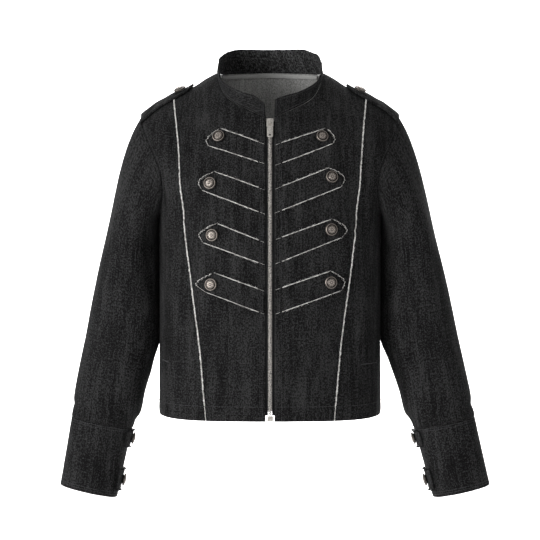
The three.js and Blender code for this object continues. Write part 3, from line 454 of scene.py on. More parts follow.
# Lean turns a vertical crease towards the horizontal; a negative depth is a trough.
FRONT_CREASES = (
    Crease(-146, -118, 8, 34, 9, -3.0, 5), Crease(-131, -122, 6, 46, 8, 2.0, 4),
    Crease(-150, -190, -22, 44, 9, 2.0, -6), Crease(-140, -222, -30, 46, 9, -2.2, 6),
    Crease(-91, -399, 78, 22, 7, -2.4, 3), Crease(-60, -416, 70, 34, 9, 1.6, -4),
    Crease(-48, -270, 4, 90, 13, 1.8, 5), Crease(-66, -290, 2, 80, 9, -1.6, 4),
    Crease(-150, -330, 12, 80, 13, 2.2, 6), Crease(-128, -420, -14, 60, 10, -2.0, 5),
    Crease(-158, -452, -10, 56, 10, 1.8, 0), Crease(-40, -478, 8, 48, 10, -1.3, 4),
    Crease(-75, -24, 40, 22, 9, 2.2, 3), Crease(-112, -60, 24, 34, 9, -1.4, 4),
    Crease(-104, -200, 12, 50, 10, 1.5, 4), Crease(-20, -330, 3, 70, 6, -1.0, 2),
    Crease(112, -122, 10, 34, 10, -2.6, -5), Crease(98, -140, 12, 44, 9, 1.8, -4),
    Crease(25, -236, 2, 84, 8, 1.8, 3), Crease(41, -250, 3, 78, 9, -1.8, 3),
    Crease(144, -247, 82, 22, 5, -1.6, 4), Crease(146, -258, 80, 26, 6, 1.2, 4),
    Crease(152, -196, 24, 46, 10, 2.2, 6), Crease(142, -226, 32, 42, 9, -2.0, -6),
    Crease(77, -49, -38, 24, 8, -2.0, 3), Crease(110, -50, -26, 34, 10, 1.5, 3),
    Crease(152, -340, -12, 84, 13, 2.2, -6), Crease(126, -404, 12, 66, 10, -2.2, -5),
    Crease(84, -396, -70, 30, 8, -1.8, 3), Crease(60, -424, -74, 36, 9, 1.5, 3),
    Crease(160, -460, 10, 56, 10, 1.6, 0), Crease(44, -482, -8, 44, 10, -1.3, 4),
    Crease(72, -330, -5, 60, 10, 1.4, 4), Crease(20, -370, -3, 70, 6, -1.1, 2),
)
BACK_CREASES = (
    Crease(-150, -150, 14, 60, 12, -3.0, 6), Crease(-128, -140, 10, 70, 11, 2.2, 6),
    Crease(150, -146, -14, 60, 12, -2.8, -6), Crease(130, -156, -10, 70, 11, 2.2, -6),
    Crease(-60, -90, 60, 60, 12, -1.6, 8), Crease(58, -98, -62, 58, 12, -1.4, 8),
    Crease(-24, -330, 4, 90, 13, 1.8, 5), Crease(10, -350, -3, 100, 12, -1.8, 5),
    Crease(70, -390, -16, 80, 12, 2.0, 6), Crease(-84, -400, 14, 80, 12, -2.0, 6),
    Crease(-140, -440, -12, 64, 11, 1.8, 4), Crease(140, -430, 12, 66, 11, -2.0, 4),
    Crease(40, -470, 8, 60, 11, 1.4, 4), Crease(0, -200, 86, 90, 16, -1.4, 10),
)
# level, degrees around, length in levels, width in degrees, lean in degrees per level, height
SLEEVE_CREASES = {
    Side.RIGHT: ((0.9, 62, 1.3, 9, -4, 1.6), (0.75, 100, 0.5, 12, 30, -2.4), (1.15, 130, 0.35, 13, -60, 2.4),
                 (1.45, 95, 0.22, 26, 40, -2.4), (1.75, 120, 0.25, 22, -50, 2.0),
                 (2.2, 70, 0.3, 18, 60, -1.8),
                 (2.5, 110, 0.28, 20, -40, 1.9), (2.9, 60, 0.4, 14, 20, 1.5), (3.1, 120, 0.3, 16, 50, -2.0),
                 (3.5, 80, 0.35, 12, -20, -1.4), (0.2, 140, 0.35, 14, 30, -2.6), (2.0, 20, 0.5, 14, 20, -1.6),
                 (1.0, 210, 0.6, 16, 30, -2.2), (1.7, 240, 0.35, 20, -40, 2.2), (2.6, 260, 0.4, 18, 30, -2.0),
                 (3.2, 300, 0.4, 16, -30, 1.6), (0.4, 280, 0.6, 16, 10, 1.8), (1.3, 330, 0.5, 14, 20, -1.4)),
    Side.LEFT: ((1.6, 66, 2.0, 8, 5, 1.7), (0.8, 105, 0.45, 12, -30, -2.4), (1.25, 135, 0.32, 13, 55, 2.2),
                (1.6, 100, 0.24, 24, -45, -2.2), (1.95, 118, 0.26, 20, 50, 1.9),
                (2.3, 80, 0.3, 16, -50, -1.7),
                (2.75, 110, 0.3, 18, 45, 1.8), (3.15, 100, 0.3, 16, -40, -1.9), (3.5, 60, 0.35, 12, 20, 1.3),
                (0.25, 145, 0.35, 14, -30, -2.6), (2.1, 25, 0.5, 14, -20, -1.5),
                (1.1, 215, 0.6, 16, -30, -2.0),
                (1.9, 235, 0.35, 20, 40, 2.2), (2.8, 265, 0.4, 18, -30, -1.9), (3.3, 305, 0.4, 16, 30, 1.5),
                (0.5, 285, 0.6, 16, -10, 1.7), (1.4, 325, 0.5, 14, -20, -1.5), (0.5, 40, 0.5, 12, 8, -1.2)),
}


def wavy(at: Array, period: float, seed: int) -> Array:
    """An uneven ripple from -1 to 1 along a length in millimetres."""
    rng = np.random.default_rng(seed)
    total = np.zeros_like(at, dtype=float)
    for scale, weight in ((1.0, 0.6), (0.61, 0.3), (1.9, 0.35)):
        phase = rng.uniform(0, 2 * math.pi)
        total += weight * np.sin(2 * math.pi * at / (period * scale) + phase)
    return total


def distance_to(points: Array, path: Array) -> Array:
    """Distance from points to the nearest of a path's points."""
    flat = points.reshape(-1, points.shape[-1])
    near = np.full(len(flat), 1e9)
    for start in range(0, len(path), 16):
        gaps = flat[:, None] - path[None, start:start + 16]
        near = np.minimum(near, np.sqrt((gaps ** 2).sum(-1)).min(1))
    return near.reshape(points.shape[:-1])


class Relief:
    """Creases, puckers and ripples of the body's cloth, shared by what lies on it."""

    def __init__(self) -> None:
        """Lays the seams that the cloth puckers along."""
        shares = np.linspace(0, 1, 60)
        self.paths = {
            -1.0: [np.stack(Outline(rows)(shares), axis=-1) for rows in (NECKLINE_FRONT, ARMHOLE_FRONT)],
            1.0: [np.stack(Outline(rows)(shares), axis=-1) for rows in (NECKLINE_BACK, ARMHOLE_BACK)],
        }

    def height(self, points: Array, rise: Array, half: BodyHalf) -> Array:
        """How far the cloth stands out from the plain surface.

        Args:
            points: Points of the plain surface.
            rise: Their rises.
            half: The body's half that they are on.

        Returns:
            Heights along the normals.
        """
        x, z = points[..., 0], points[..., 2]
        side = np.abs(x)
        creases = FRONT_CREASES if half is FRONT else BACK_CREASES
        height = sum(crease.height(x, z) for crease in creases)
        height = height + 0.7 * wavy(x + z * 0.12, 74, 3) + 0.5 * wavy(z + 0.4 * x, 118, 5)
        flat = np.stack([side, z], axis=-1)
        neck, arm = (distance_to(flat, path) for path in self.paths[half.sign])
        keep = smooth(0, 16, neck) * smooth(0, 14, arm) * (1 - smooth(1.0, 1.42, rise))
        keep = keep * (1 - 0.85 * smooth(150, 174, side))
        from_middle = side if half is FRONT else side + 30
        height = height * keep * smooth(8, 22, from_middle)
        pucker = np.exp(-((arm - 5) / 5) ** 2) * smooth(0, 3, arm)
        height = height + 0.45 * wavy(z + 40 * np.sign(x), 11, 11) * pucker
        if half is FRONT:
            seam = np.abs(side - princess_x(z))
            pucker = np.exp(-(seam / 7) ** 2)
            ripple = 0.5 * wavy(z * 1.05 + 9 * np.sign(x), 13, 17) * pucker
            height = height + ripple * (1 - smooth(1.1, 1.5, rise))
        hem = z - HEM_Z - HEM_DEPTH
        ripple = wavy(x * 1.3 + 2 * np.sign(x), 15, 23)
        height = height + 0.75 * ripple * np.exp(-((hem + 8) / 12) ** 2) * smooth(9, 26, from_middle)
        return height - 0.55 * np.exp(-(hem / 1.6) ** 2)


RELIEF = Relief()


def on_body(angle: Array, rise: Array, half: BodyHalf, side: Side) -> tuple[Array, Array]:
    """Points and normals of the creased body on one side."""
    points, normals = half.point(angle, rise), half.normal(angle, rise)
    points, normals = points * side.flip, normals * side.flip
    return points + normals * RELIEF.height(points, rise, half)[..., None], normals


def front_at(x: Array, z: Array, side: Side) -> tuple[Array, Array]:
    """Points and normals of the creased front, seen from the front at x and z."""
    return on_body(*FRONT.place(np.abs(x), z), FRONT, side)


class ArcTable:
    """Lengths along the body's surface, which give its cloth even texture coordinates."""

    def __init__(self, half: BodyHalf) -> None:
        """Measures a grid of the half's surface."""
        self.angles = np.linspace(0, math.pi / 2, 91)
        self.rises = np.linspace(-1.36, math.pi / 2, 121)
        points = half.point(self.angles[None, :], self.rises[:, None])
        across = np.linalg.norm(np.diff(points, axis=1), axis=-1)
        up = np.linalg.norm(np.diff(points, axis=0), axis=-1)
        self.across = np.pad(np.cumsum(across, axis=1), ((0, 0), (1, 0)))
        self.up = np.pad(np.cumsum(up, axis=0), ((1, 0), (0, 0)))

    def __call__(self, angle: Array, rise: Array) -> Array:
        """Lengths from the centre line and from the hem, in millimetres."""
        i = np.clip(angle / self.angles[1], 0, 89.999)
        j = np.clip((rise - self.rises[0]) / (self.rises[1] - self.rises[0]), 0, 119.999)
        a, b = i.astype(int), j.astype(int)
        s, t = i - a, j - b
        read = lambda grid: ((1 - s) * (1 - t) * grid[b, a] + s * (1 - t) * grid[b, a + 1]
                             + (1 - s) * t * grid[b + 1, a] + s * t * grid[b + 1, a + 1])
        return np.stack([read(self.across), read(self.up)], axis=-1)


ARCS = {FRONT.sign: ArcTable(FRONT), BACK.sign: ArcTable(BACK)}

# Meshes


class MeshBuilder:
    """Collects faces and makes one Blender object of them."""

    def __init__(self) -> None:
        """Starts empty."""
        self.points: list[Array] = []
        self.faces: list[tuple[Array, Array, int]] = []
        self.count = 0

    def add(self, points: Array, faces: Array, uv: Array | None = None, slot: int = 0) -> None:
        """Adds faces of one corner count.

        Args:
            points: Points in millimetres.
            faces: Corner numbers per face, counted in these points.
            uv: Texture coordinates per corner, or per point.
            slot: Number of the material.
        """
        if uv is None:
            uv = np.zeros((len(points), 2))
        if uv.ndim == 2:
            uv = uv[faces]
        self.faces.append((faces + self.count, uv, slot))
        self.points.append(points)
        self.count += len(points)

    def build(self, name: str, materials: Sequence[bpy.types.Material]) -> bpy.types.Object:
        """Makes the object.

        Args:
            name: The object's name.
            materials: Its materials in slot order.

        Returns:
            The new object, linked to the scene.
        """
        mesh = bpy.data.meshes.new(name)
        points = np.concatenate(self.points) * METRES
        loops = np.concatenate([faces.ravel() for faces, _, _ in self.faces])
        sizes = np.concatenate([np.full(len(faces), faces.shape[1]) for faces, _, _ in self.faces])
        slots = np.concatenate([np.full(len(faces), slot) for faces, _, slot in self.faces])
        uvs = np.concatenate([uv.reshape(-1, 2) for _, uv, _ in self.faces])
        mesh.vertices.add(len(points))
        mesh.vertices.foreach_set("co", points.ravel())
        mesh.loops.add(len(loops))
        mesh.loops.foreach_set("vertex_index", loops.astype(np.int32))
        mesh.polygons.add(len(sizes))
        starts = np.concatenate([[0], np.cumsum(sizes)[:-1]])
        mesh.polygons.foreach_set("loop_start", starts.astype(np.int32))
        mesh.update(calc_edges=True)
        mesh.polygons.foreach_set("material_index", slots.astype(np.int32))
        mesh.polygons.foreach_set("use_smooth", np.ones(len(sizes), dtype=bool))
        mesh.uv_layers.new(name="cloth").uv.foreach_set("vector", (uvs * METRES).ravel())
        for material in materials:
            mesh.materials.append(material)
        mesh.validate()
        made = bpy.data.objects.new(name, mesh)
        bpy.context.scene.collection.objects.link(made)
        return made


def grid_faces(rows: int, columns: int, closed: bool) -> tuple[Array, Array]:
    """Quads of a grid.

    Args:
        rows: Rows of points.
        columns: Columns of points.
        closed: Whether the last column meets the first.

    Returns:
        Point numbers per quad, and the row and column of each corner, the column not wrapped.
    """
    last = columns if closed else columns - 1
    j, i = (axis.ravel() for axis in np.mgrid[0:rows - 1, 0:last])
    row = np.stack([j, j, j + 1, j + 1], axis=-1)
    col = np.stack([i, i + 1, i + 1, i], axis=-1)
    return row * columns + col % columns, np.stack([row, col], axis=-1)


def edge_distance(points: Array, closed: bool) -> Array:
    """Distance of each net point along the net to its nearest edge."""
    up = np.pad(np.cumsum(np.linalg.norm(np.diff(points, axis=0), axis=-1), axis=0), ((1, 0), (0, 0)))
    near = np.minimum(up, up[-1:] - up)
    if not closed:
        over = np.pad(np.cumsum(np.linalg.norm(np.diff(points, axis=1), axis=-1), axis=1), ((0, 0), (1, 0)))
        near = np.minimum(near, np.minimum(over, over[:, -1:] - over))
    return near


def net_area(points: Array, closed: bool) -> float:
    """Area of a net of points."""
    if closed:
        points = np.concatenate([points, points[:, :1]], axis=1)
    a, b = points[1:, 1:] - points[:-1, :-1], points[1:, :-1] - points[:-1, 1:]
    return float(np.linalg.norm(np.cross(a, b), axis=-1).sum() / 2)


@dataclass
class Net:
    """A net of a cloth's outer points with normals and texture coordinates."""
    points: Array
    normals: Array
    uv: Array
    closed: bool = False

    def flat_size(self) -> tuple[float, float, float]:
        """The cut's width, length and area in metres."""
        points = self.points
        if self.closed:
            points = np.concatenate([points, points[:, :1]], axis=1)
        width = np.linalg.norm(np.diff(points, axis=1), axis=-1).sum(1).max()
        length = np.linalg.norm(np.diff(points, axis=0), axis=-1).sum(0).max()
        return width * METRES, length * METRES, net_area(points, False) * METRES ** 2

    def moved(self, distance: Array) -> Array:
        """The net's points, moved along the normals."""
        return self.points + self.normals * np.asarray(distance)[..., None]

    def shell(self, front: float, back: Array, roll: float = EDGE_ROLL, reverse: int = 1) -> MeshBuilder:
        """A closed cloth between two distances from the net, with rolled edges.

        Args:
            front: Distance of the outer face.
            back: Distance of the inner face, one or per row.
            roll: Radius of the outer edge.
            reverse: Material number of the inner face.

        Returns:
            A builder that holds the shell.
        """
        rows, columns = self.points.shape[:2]
        near = edge_distance(self.points, self.closed)
        inward = np.maximum(0, roll - near)
        drop = roll - np.sqrt(np.maximum(0, roll * roll - inward * inward))
        depth = np.broadcast_to(np.asarray(back, float).reshape(-1, 1), (rows, columns))
        outer = self.moved(front - drop)
        inner = self.moved(depth + drop * 0.3)
        faces, corners = grid_faces(rows, columns, self.closed)
        uv = self.uv[corners[..., 0], corners[..., 1]]
        flip = self._faces_inwards(outer)
        builder = MeshBuilder()
        points = np.concatenate([outer.reshape(-1, 3), inner.reshape(-1, 3)])
        size = rows * columns
        out, into = (faces[:, ::-1], faces) if flip else (faces, faces[:, ::-1])
        uv_out, uv_in = (uv[:, ::-1], uv) if flip else (uv, uv[:, ::-1])
        builder.add(points, out, uv_out)
        builder.faces.append((into + size, uv_in, reverse))
        for line, uv_line in self._borders(rows, columns):
            a, b = line[:-1], line[1:]
            rim = np.stack([a, a + size, b + size, b], axis=-1)
            ends = np.stack([uv_line[:-1], uv_line[:-1], uv_line[1:], uv_line[1:]], axis=1)
            builder.faces.append((rim[:, ::-1] if flip else rim, ends[:, ::-1] if flip else ends, 0))
        return builder

    def _faces_inwards(self, outer: Array) -> bool:
        """Whether the net's own winding points against its normals."""
        a, b = outer[1:, 1:] - outer[:-1, :-1], outer[1:, :-1] - outer[:-1, 1:]
        return float((np.cross(a, b) * self.normals[:-1, :-1]).sum()) < 0

    def _borders(self, rows: int, columns: int) -> list[tuple[Array, Array]]:
        """Point numbers and texture coordinates along each open edge, in winding order."""
        last = columns if self.closed else columns - 1
        over = np.arange(last + 1)
        lower = (over % columns, self.uv[0, over])
        upper = ((rows - 1) * columns + over[::-1] % columns, self.uv[-1, over[::-1]])
        if self.closed:
            return [lower, upper]
        up = np.arange(rows)
        return [lower, upper, (up[::-1] * columns, self.uv[::-1, 0]),
                (up * columns + columns - 1, self.uv[:, -1])]


def net_normals(points: Array, closed: bool) -> Array:
    """Normals of a net from each point's neighbours."""
    if closed:
        around = np.roll(points, -1, axis=1) - np.roll(points, 1, axis=1)
    else:
        around = np.gradient(points, axis=1)
    return unit(np.cross(around, np.gradient(points, axis=0)))


def net_uv(points: Array, closed: bool, offset: float = 0.0) -> Array:
    """Texture coordinates in millimetres from lengths along a net, with a closing column."""
    if closed:
        points = np.concatenate([points, points[:, :1]], axis=1)
    over = np.pad(np.cumsum(np.linalg.norm(np.diff(points, axis=1), axis=-1), axis=1), ((0, 0), (1, 0)))
    up = np.pad(np.cumsum(np.linalg.norm(np.diff(points, axis=0), axis=-1), axis=0), ((1, 0), (0, 0)))
    return np.stack([over + offset, up.mean(axis=1, keepdims=True) + 0 * up], axis=-1)


def panel_net(bottom: Callable, top: Callable, left: Array, right: Array, columns: Array, half: BodyHalf,
              side: Side, offset: float) -> Net:
    """Net of a body panel.

    Args:
        bottom: Places along the hem per column share.
        top: Places along the top per column share.
        left: Places per row up the inner edge.
        right: Places per row up the outer edge.
        columns: Shares of the columns.
        half: The body's half.
        side: The wearer's side.
        offset: Shift of the texture coordinates.

    Returns:
        The creased net.
    """
    places = fill_edges(bottom(columns), top(columns), left, right, columns, ROWS / ROWS[-1])
    points, normals = on_body(places[..., 0], places[..., 1], half, side)
    uv = ARCS[half.sign](places[..., 0], places[..., 1]) * np.array([side.value, 1.0]) + offset
    return Net(points, normals, uv)


def resampled(points: Array, pitch: float, *others: Array) -> list[Array]:
    """Points at even lengths along a path, with other values read at the same places.

    Args:
        points: The path.
        pitch: Length between the new points.
        others: Vectors per path point.

    Returns:
        The new points, their directions, and the other values.
    """
    at = run_length(points)
    wanted = np.arange(pitch / 2, at[-1], pitch)
    read = lambda values: np.stack([np.interp(wanted, at, line) for line in values.T], axis=-1)
    tangents = unit(np.gradient(points, axis=0))
    return [read(points), unit(read(tangents)), *[unit(read(other)) for other in others]]


def tube(spines: Array, radius: Array, sides: int) -> tuple[Array, Array]:
    """Tubes along many short paths.

    Args:
        spines: Paths as count by stations by 3.
        radius: Radius per station.
        sides: Sides of the tubes.

    Returns:
        Points and quads.
    """
    count, stations = spines.shape[:2]
    tangent = unit(np.gradient(spines, axis=1))
    other = np.where(np.abs(tangent[..., 2:]) < 0.9, np.array([0.0, 0.0, 1.0]), np.array([1.0, 0.0, 0.0]))
    first = unit(np.cross(tangent, other))
    second = np.cross(tangent, first)
    turn = np.linspace(0, 2 * math.pi, sides, endpoint=False)
    size = np.broadcast_to(np.asarray(radius, float), (count, stations))[..., None, None]
    ring = first[:, :, None] * np.cos(turn)[:, None] + second[:, :, None] * np.sin(turn)[:, None]
    points = (spines[:, :, None] + ring * size).reshape(-1, 3)
    quads, _ = grid_faces(stations, sides, True)
    starts = np.arange(count)[:, None, None] * stations * sides
    return points, (quads[None] + starts).reshape(-1, 4)


def add_stitches(builder: MeshBuilder, points: Array, normals: Array, length: float = 2.7, pitch: float = 3.3,
                 radius: float = 0.33, sunk: float = 0.12) -> None:
    """Adds a row of topstitches along a path on cloth.

    Args:
        builder: Where they go.
        points: The path on the cloth's face.
        normals: The cloth's normals along it.
        length: Length of a stitch.
        pitch: Length from stitch to stitch.
        radius: Half the thread's thickness.
        sunk: How deep the ends lie in the cloth.
    """
    centre, tangent, normal = resampled(points, pitch, normals)
    stations = np.array([-0.5, -0.4, 0.0, 0.4, 0.5]) * length
    lift = np.array([-sunk * 2, 0.1, 0.22, 0.1, -sunk * 2])
    spines = (centre[:, None] + tangent[:, None] * stations[:, None] + normal[:, None] * lift[:, None])
    made, faces = tube(spines, np.array([0.35, 1.0, 1.1, 1.0, 0.35]) * radius, 5)
    builder.add(made, faces, np.repeat(centre[:, ::2], 25, axis=0))


def add_fray(builder: MeshBuilder, points: Array, outward: Array, normals: Array, rng: np.random.Generator,
             per_mm: float, length: tuple[float, float], radius: float = 0.16, spread: float = 0.7,
             stand: float = 0.35) -> None:
    """Adds loose threads along a raw edge.

    Args:
        builder: Where they go.
        points: The edge's path.
        outward: Directions off the cloth along it.
        normals: The cloth's normals along it.
        rng: Random numbers.
        per_mm: Threads per millimetre.
        length: Shortest and longest thread.
        radius: Half a thread's thickness.
        spread: How far threads lean along the edge.
        stand: How far they lean off the cloth.
    """
    at = run_length(points)
    count = max(2, int(at[-1] * per_mm))
    where = np.sort(rng.uniform(0, at[-1], count))
    read = lambda values: np.stack([np.interp(where, at, values[:, k]) for k in range(3)], axis=-1)
    root, out, normal = read(points), unit(read(outward)), unit(read(normals))
    along = unit(read(unit(np.gradient(points, axis=0))))
    size = rng.uniform(*length, count) * (0.65 + 0.35 * np.abs(wavy(where, 7, 31)))
    lean = rng.normal(0, spread, (count, 1))
    lift = np.abs(rng.normal(0, stand, (count, 1)))
    curl = rng.normal(0, 0.5, (count, 1))
    stations = np.linspace(0, 1, 4)[None, :, None]
    heading = out[:, None] + along[:, None] * (lean[:, None] + curl[:, None] * stations) * stations ** 0.6
    heading = heading + normal[:, None] * (lift[:, None] * stations - 0.25 * lift[:, None] * stations ** 2)
    spines = root[:, None] + heading * stations * size[:, None, None]
    made, faces = tube(spines, radius * np.array([1.0, 1.0, 0.85, 0.4]), 3)
    builder.add(made, faces, np.repeat(root[:, ::2], 12, axis=0))


def add_strands(builder: MeshBuilder, points: Array, outward: Array, normals: Array, rng: np.random.Generator,
                offsets: Sequence[float], radius: float = 0.26, wander: float = 0.25) -> None:
    """Adds long loose threads that run along a raw edge.

    Args:
        builder: Where they go.
        points: The edge's path.
        outward: Directions off the cloth along it.
        normals: The cloth's normals along it.
        rng: Random numbers.
        offsets: Distance of each thread outside the edge.
        radius: Half a thread's thickness.
        wander: How far a thread strays sideways.
    """
    spots, tangents, out, normal = resampled(points, 1.1, outward, normals)
    for offset in offsets:
        stray = rng.normal(0, wander, (len(spots), 1))
        bounce = np.abs(rng.normal(0, wander * 0.8, (len(spots), 1)))
        spine = spots + out * (offset + stray) + normal * bounce
        made, faces = tube(spine[None], radius * rng.uniform(0.6, 1.3, len(spots))[None], 4)
        builder.add(made, faces, np.repeat(spine[:, ::2], 4, axis=0))

# Materials


class Value:
    """A number in a shader, with arithmetic that adds the nodes."""

    def __init__(self, graph: "Graph", socket: bpy.types.NodeSocket) -> None:
        """Wraps a socket."""
        self.graph = graph
        self.socket = socket

    def math(self, operation: str, *others: "Value | float", first: "Value | float | None" = None) -> "Value":
        """One Math node with this value, or the given first one, as its first input."""
        node = self.graph.node("ShaderNodeMath", {"operation": operation})
        for slot, value in enumerate([self if first is None else first, *others]):
            self.graph.feed(node.inputs[slot], value)
        return Value(self.graph, node.outputs[0])

    def __add__(self, other: "Value | float") -> "Value":
        """Sum."""
        return self.math("ADD", other)

    def __sub__(self, other: "Value | float") -> "Value":
        """Difference."""
        return self.math("SUBTRACT", other)

    def __rsub__(self, other: float) -> "Value":
        """Difference from a number."""
        return self.math("SUBTRACT", self, first=other)

    def __mul__(self, other: "Value | float") -> "Value":
        """Product."""
        return self.math("MULTIPLY", other)

    def __truediv__(self, other: "Value | float") -> "Value":
        """Quotient."""
        return self.math("DIVIDE", other)

    def __rtruediv__(self, other: float) -> "Value":
        """A number divided by this."""
        return self.math("DIVIDE", self, first=other)

    def __pow__(self, other: float) -> "Value":
        """Power."""
        return self.math("POWER", other)

    __radd__ = __add__
    __rmul__ = __mul__

    def clamped(self) -> "Value":
        """The value kept from 0 to 1."""
        return self.math("MAXIMUM", 0.0).math("MINIMUM", 1.0)

    def step(self, low: float, high: float) -> "Value":
        """A smooth step from 0 at low to 1 at high."""
        node = self.graph.node("ShaderNodeMapRange", {"interpolation_type": "SMOOTHSTEP"},
                               {"Value": self, "From Min": low, "From Max": high})
        return Value(self.graph, node.outputs["Result"])


Colour = tuple[float, float, float]


class Graph:
    """A material's nodes, with one Principled surface."""

    def __init__(self, name: str) -> None:
        """Makes the material."""
        self.material = bpy.data.materials.new(name)
        self.material.use_nodes = True
        self.tree = self.material.node_tree
        self.surface = self.tree.nodes["Principled BSDF"]

    def feed(self, socket: bpy.types.NodeSocket, value: object) -> None:
        """Links a value to a socket, or sets it there."""
        source = value.socket if isinstance(value, Value) else value
        if isinstance(source, bpy.types.NodeSocket):
            self.tree.links.new(source, socket)
        else:
            socket.default_value = source

    def node(self, kind: str, settings: dict | None = None, inputs: dict | None = None) -> bpy.types.Node:
        """Adds a node.

        Args:
            kind: The node's type.
            settings: Properties, set first.
            inputs: Values or sockets by input name.

        Returns:
            The node.
        """
        made = self.tree.nodes.new(kind)
        for key, value in (settings or {}).items():
            setattr(made, key, value)
        for key, value in (inputs or {}).items():
            self.feed(made.inputs[key], value)
        return made

    def cloth_map(self) -> bpy.types.NodeSocket:
        """The cloth's own coordinates in metres."""
        return self.node("ShaderNodeUVMap", {"uv_map": "cloth"}).outputs["UV"]

    def scaled(self, vector: bpy.types.NodeSocket, factors: Colour) -> bpy.types.NodeSocket:
        """A vector multiplied by factors."""
        made = self.node("ShaderNodeVectorMath", {"operation": "MULTIPLY"})
        self.feed(made.inputs[0], vector)
        self.feed(made.inputs[1], factors)
        return made.outputs[0]

    def noise(self, vector: bpy.types.NodeSocket, width_mm: float, length_mm: float, detail: float = 2.0,
              shift: float = 0.0) -> Value:
        """Noise with cells of a given size on the cloth.

        Args:
            vector: Coordinates in metres.
            width_mm: Size of a cell across.
            length_mm: Size of a cell along.
            detail: Octaves.
            shift: Depth in the noise, so that layers differ.

        Returns:
            The noise, about 0.5.
        """
        at = self.scaled(vector, (1000 / width_mm, 1000 / length_mm, 1000 / width_mm))
        moved = self.node("ShaderNodeVectorMath", {"operation": "ADD"})
        self.feed(moved.inputs[0], at)
        self.feed(moved.inputs[1], (shift * 1.7, shift * 3.1, shift))
        made = self.node("ShaderNodeTexNoise", {},
                         {"Vector": moved.outputs[0], "Scale": 1.0, "Detail": detail})
        return Value(self, made.outputs["Fac"])

    def mixed(self, share: Value, low: Colour, high: Colour) -> bpy.types.NodeSocket:
        """A colour between two."""
        made = self.node("ShaderNodeMix", {"data_type": "RGBA"})
        self.feed(made.inputs[0], share)
        self.feed(made.inputs[6], (*low, 1.0))
        self.feed(made.inputs[7], (*high, 1.0))
        return made.outputs[2]

    def bump(self, height: Value, distance: float, strength: float = 1.0) -> None:
        """Feeds a height in units of a distance in metres to the surface's normal."""
        made = self.node("ShaderNodeBump", {}, {"Height": height, "Distance": distance, "Strength": strength})
        self.feed(self.surface.inputs["Normal"], made.outputs["Normal"])

    def set(self, **inputs: float) -> None:
        """Sets the surface's constants, with _ for the blanks in their names."""
        for key, value in inputs.items():
            self.surface.inputs[key.replace("_", " ")].default_value = value


@dataclass(frozen=True)
class Denim:
    """Heathered black denim: dark yarn with slubs along the grain, a fine twill and a little sheen."""
    name: str
    dark: Colour
    light: Colour
    contrast: float = 1.0
    twill: float = 1.0
    sheen: float = 0.008

    def material(self) -> bpy.types.Material:
        """Builds the material."""
        graph = Graph(self.name)
        cloth = graph.cloth_map()
        yarn = graph.noise(cloth, 1.25, 2.1, 2.0)
        heather = graph.noise(cloth, 2.1, 3.4, 2.0, 33.0)
        slub = graph.noise(cloth, 2.6, 30.0, 2.0, 4.0)
        streak = graph.noise(cloth, 10.0, 130.0, 2.0, 9.0)
        patch = graph.noise(cloth, 45.0, 70.0, 2.0, 15.0)
        weft = graph.noise(cloth, 8.0, 1.6, 1.0, 21.0)
        fleck = graph.noise(cloth, 1.7, 2.8, 1.0, 27.0).step(0.6, 0.74)
        layers = ((yarn, 3.2), (heather, 3.1), (slub, 1.4), (streak, 1.3), (patch, 1.0), (weft, 0.8))
        share = fleck * (0.35 * self.contrast) + 0.33
        for layer, weight in layers:
            share = share + (layer - 0.5) * (weight * self.contrast)
        graph.feed(graph.surface.inputs["Base Color"], graph.mixed(share.clamped(), self.dark, self.light))
        wave = graph.node("ShaderNodeTexWave", {"bands_direction": "DIAGONAL"},
                          {"Vector": graph.scaled(cloth, (1.0, 1.0, 1.0)), "Scale": 420.0,
                           "Distortion": 1.2, "Detail": 1.0})
        height = Value(graph, wave.outputs["Fac"]) * (0.35 * self.twill) + yarn * 1.2 + slub * 0.9
        graph.bump(height, 0.00028, 0.85)
        graph.set(Roughness=0.85, Specular_IOR_Level=0.1, Sheen_Weight=self.sheen, Sheen_Roughness=0.55)
        return graph.material


@dataclass(frozen=True)
class Thread:
    """Cotton thread or raw yarn ends."""
    name: str
    dark: Colour
    light: Colour
    cell_mm: float = 5.0

    def material(self) -> bpy.types.Material:
        """Builds the material."""
        graph = Graph(self.name)
        cloth = graph.cloth_map()
        tone = graph.noise(cloth, self.cell_mm, self.cell_mm, 2.0).step(0.3, 0.62)
        graph.feed(graph.surface.inputs["Base Color"], graph.mixed(tone, self.dark, self.light))
        graph.bump(graph.noise(cloth, 0.4, 0.4, 1.0, 3.0), 0.00015)
        graph.set(Roughness=0.9, Specular_IOR_Level=0.2)
        return graph.material


@dataclass(frozen=True)
class Tape:
    """Woven tape with fine ribs across it."""
    name: str
    dark: Colour
    light: Colour
    rib_mm: float = 0.9

    def material(self) -> bpy.types.Material:
        """Builds the material."""
        graph = Graph(self.name)
        cloth = graph.cloth_map()
        rib = graph.noise(cloth, 9.0, self.rib_mm, 1.0)
        yarn = graph.noise(cloth, 0.9, 6.0, 1.0, 5.0)
        graph.feed(graph.surface.inputs["Base Color"],
                   graph.mixed((rib * 0.6 + yarn * 0.6 - 0.1).clamped(), self.dark, self.light))
        graph.bump(rib + yarn, 0.0002)
        graph.set(Roughness=0.85, Specular_IOR_Level=0.25)
        return graph.material


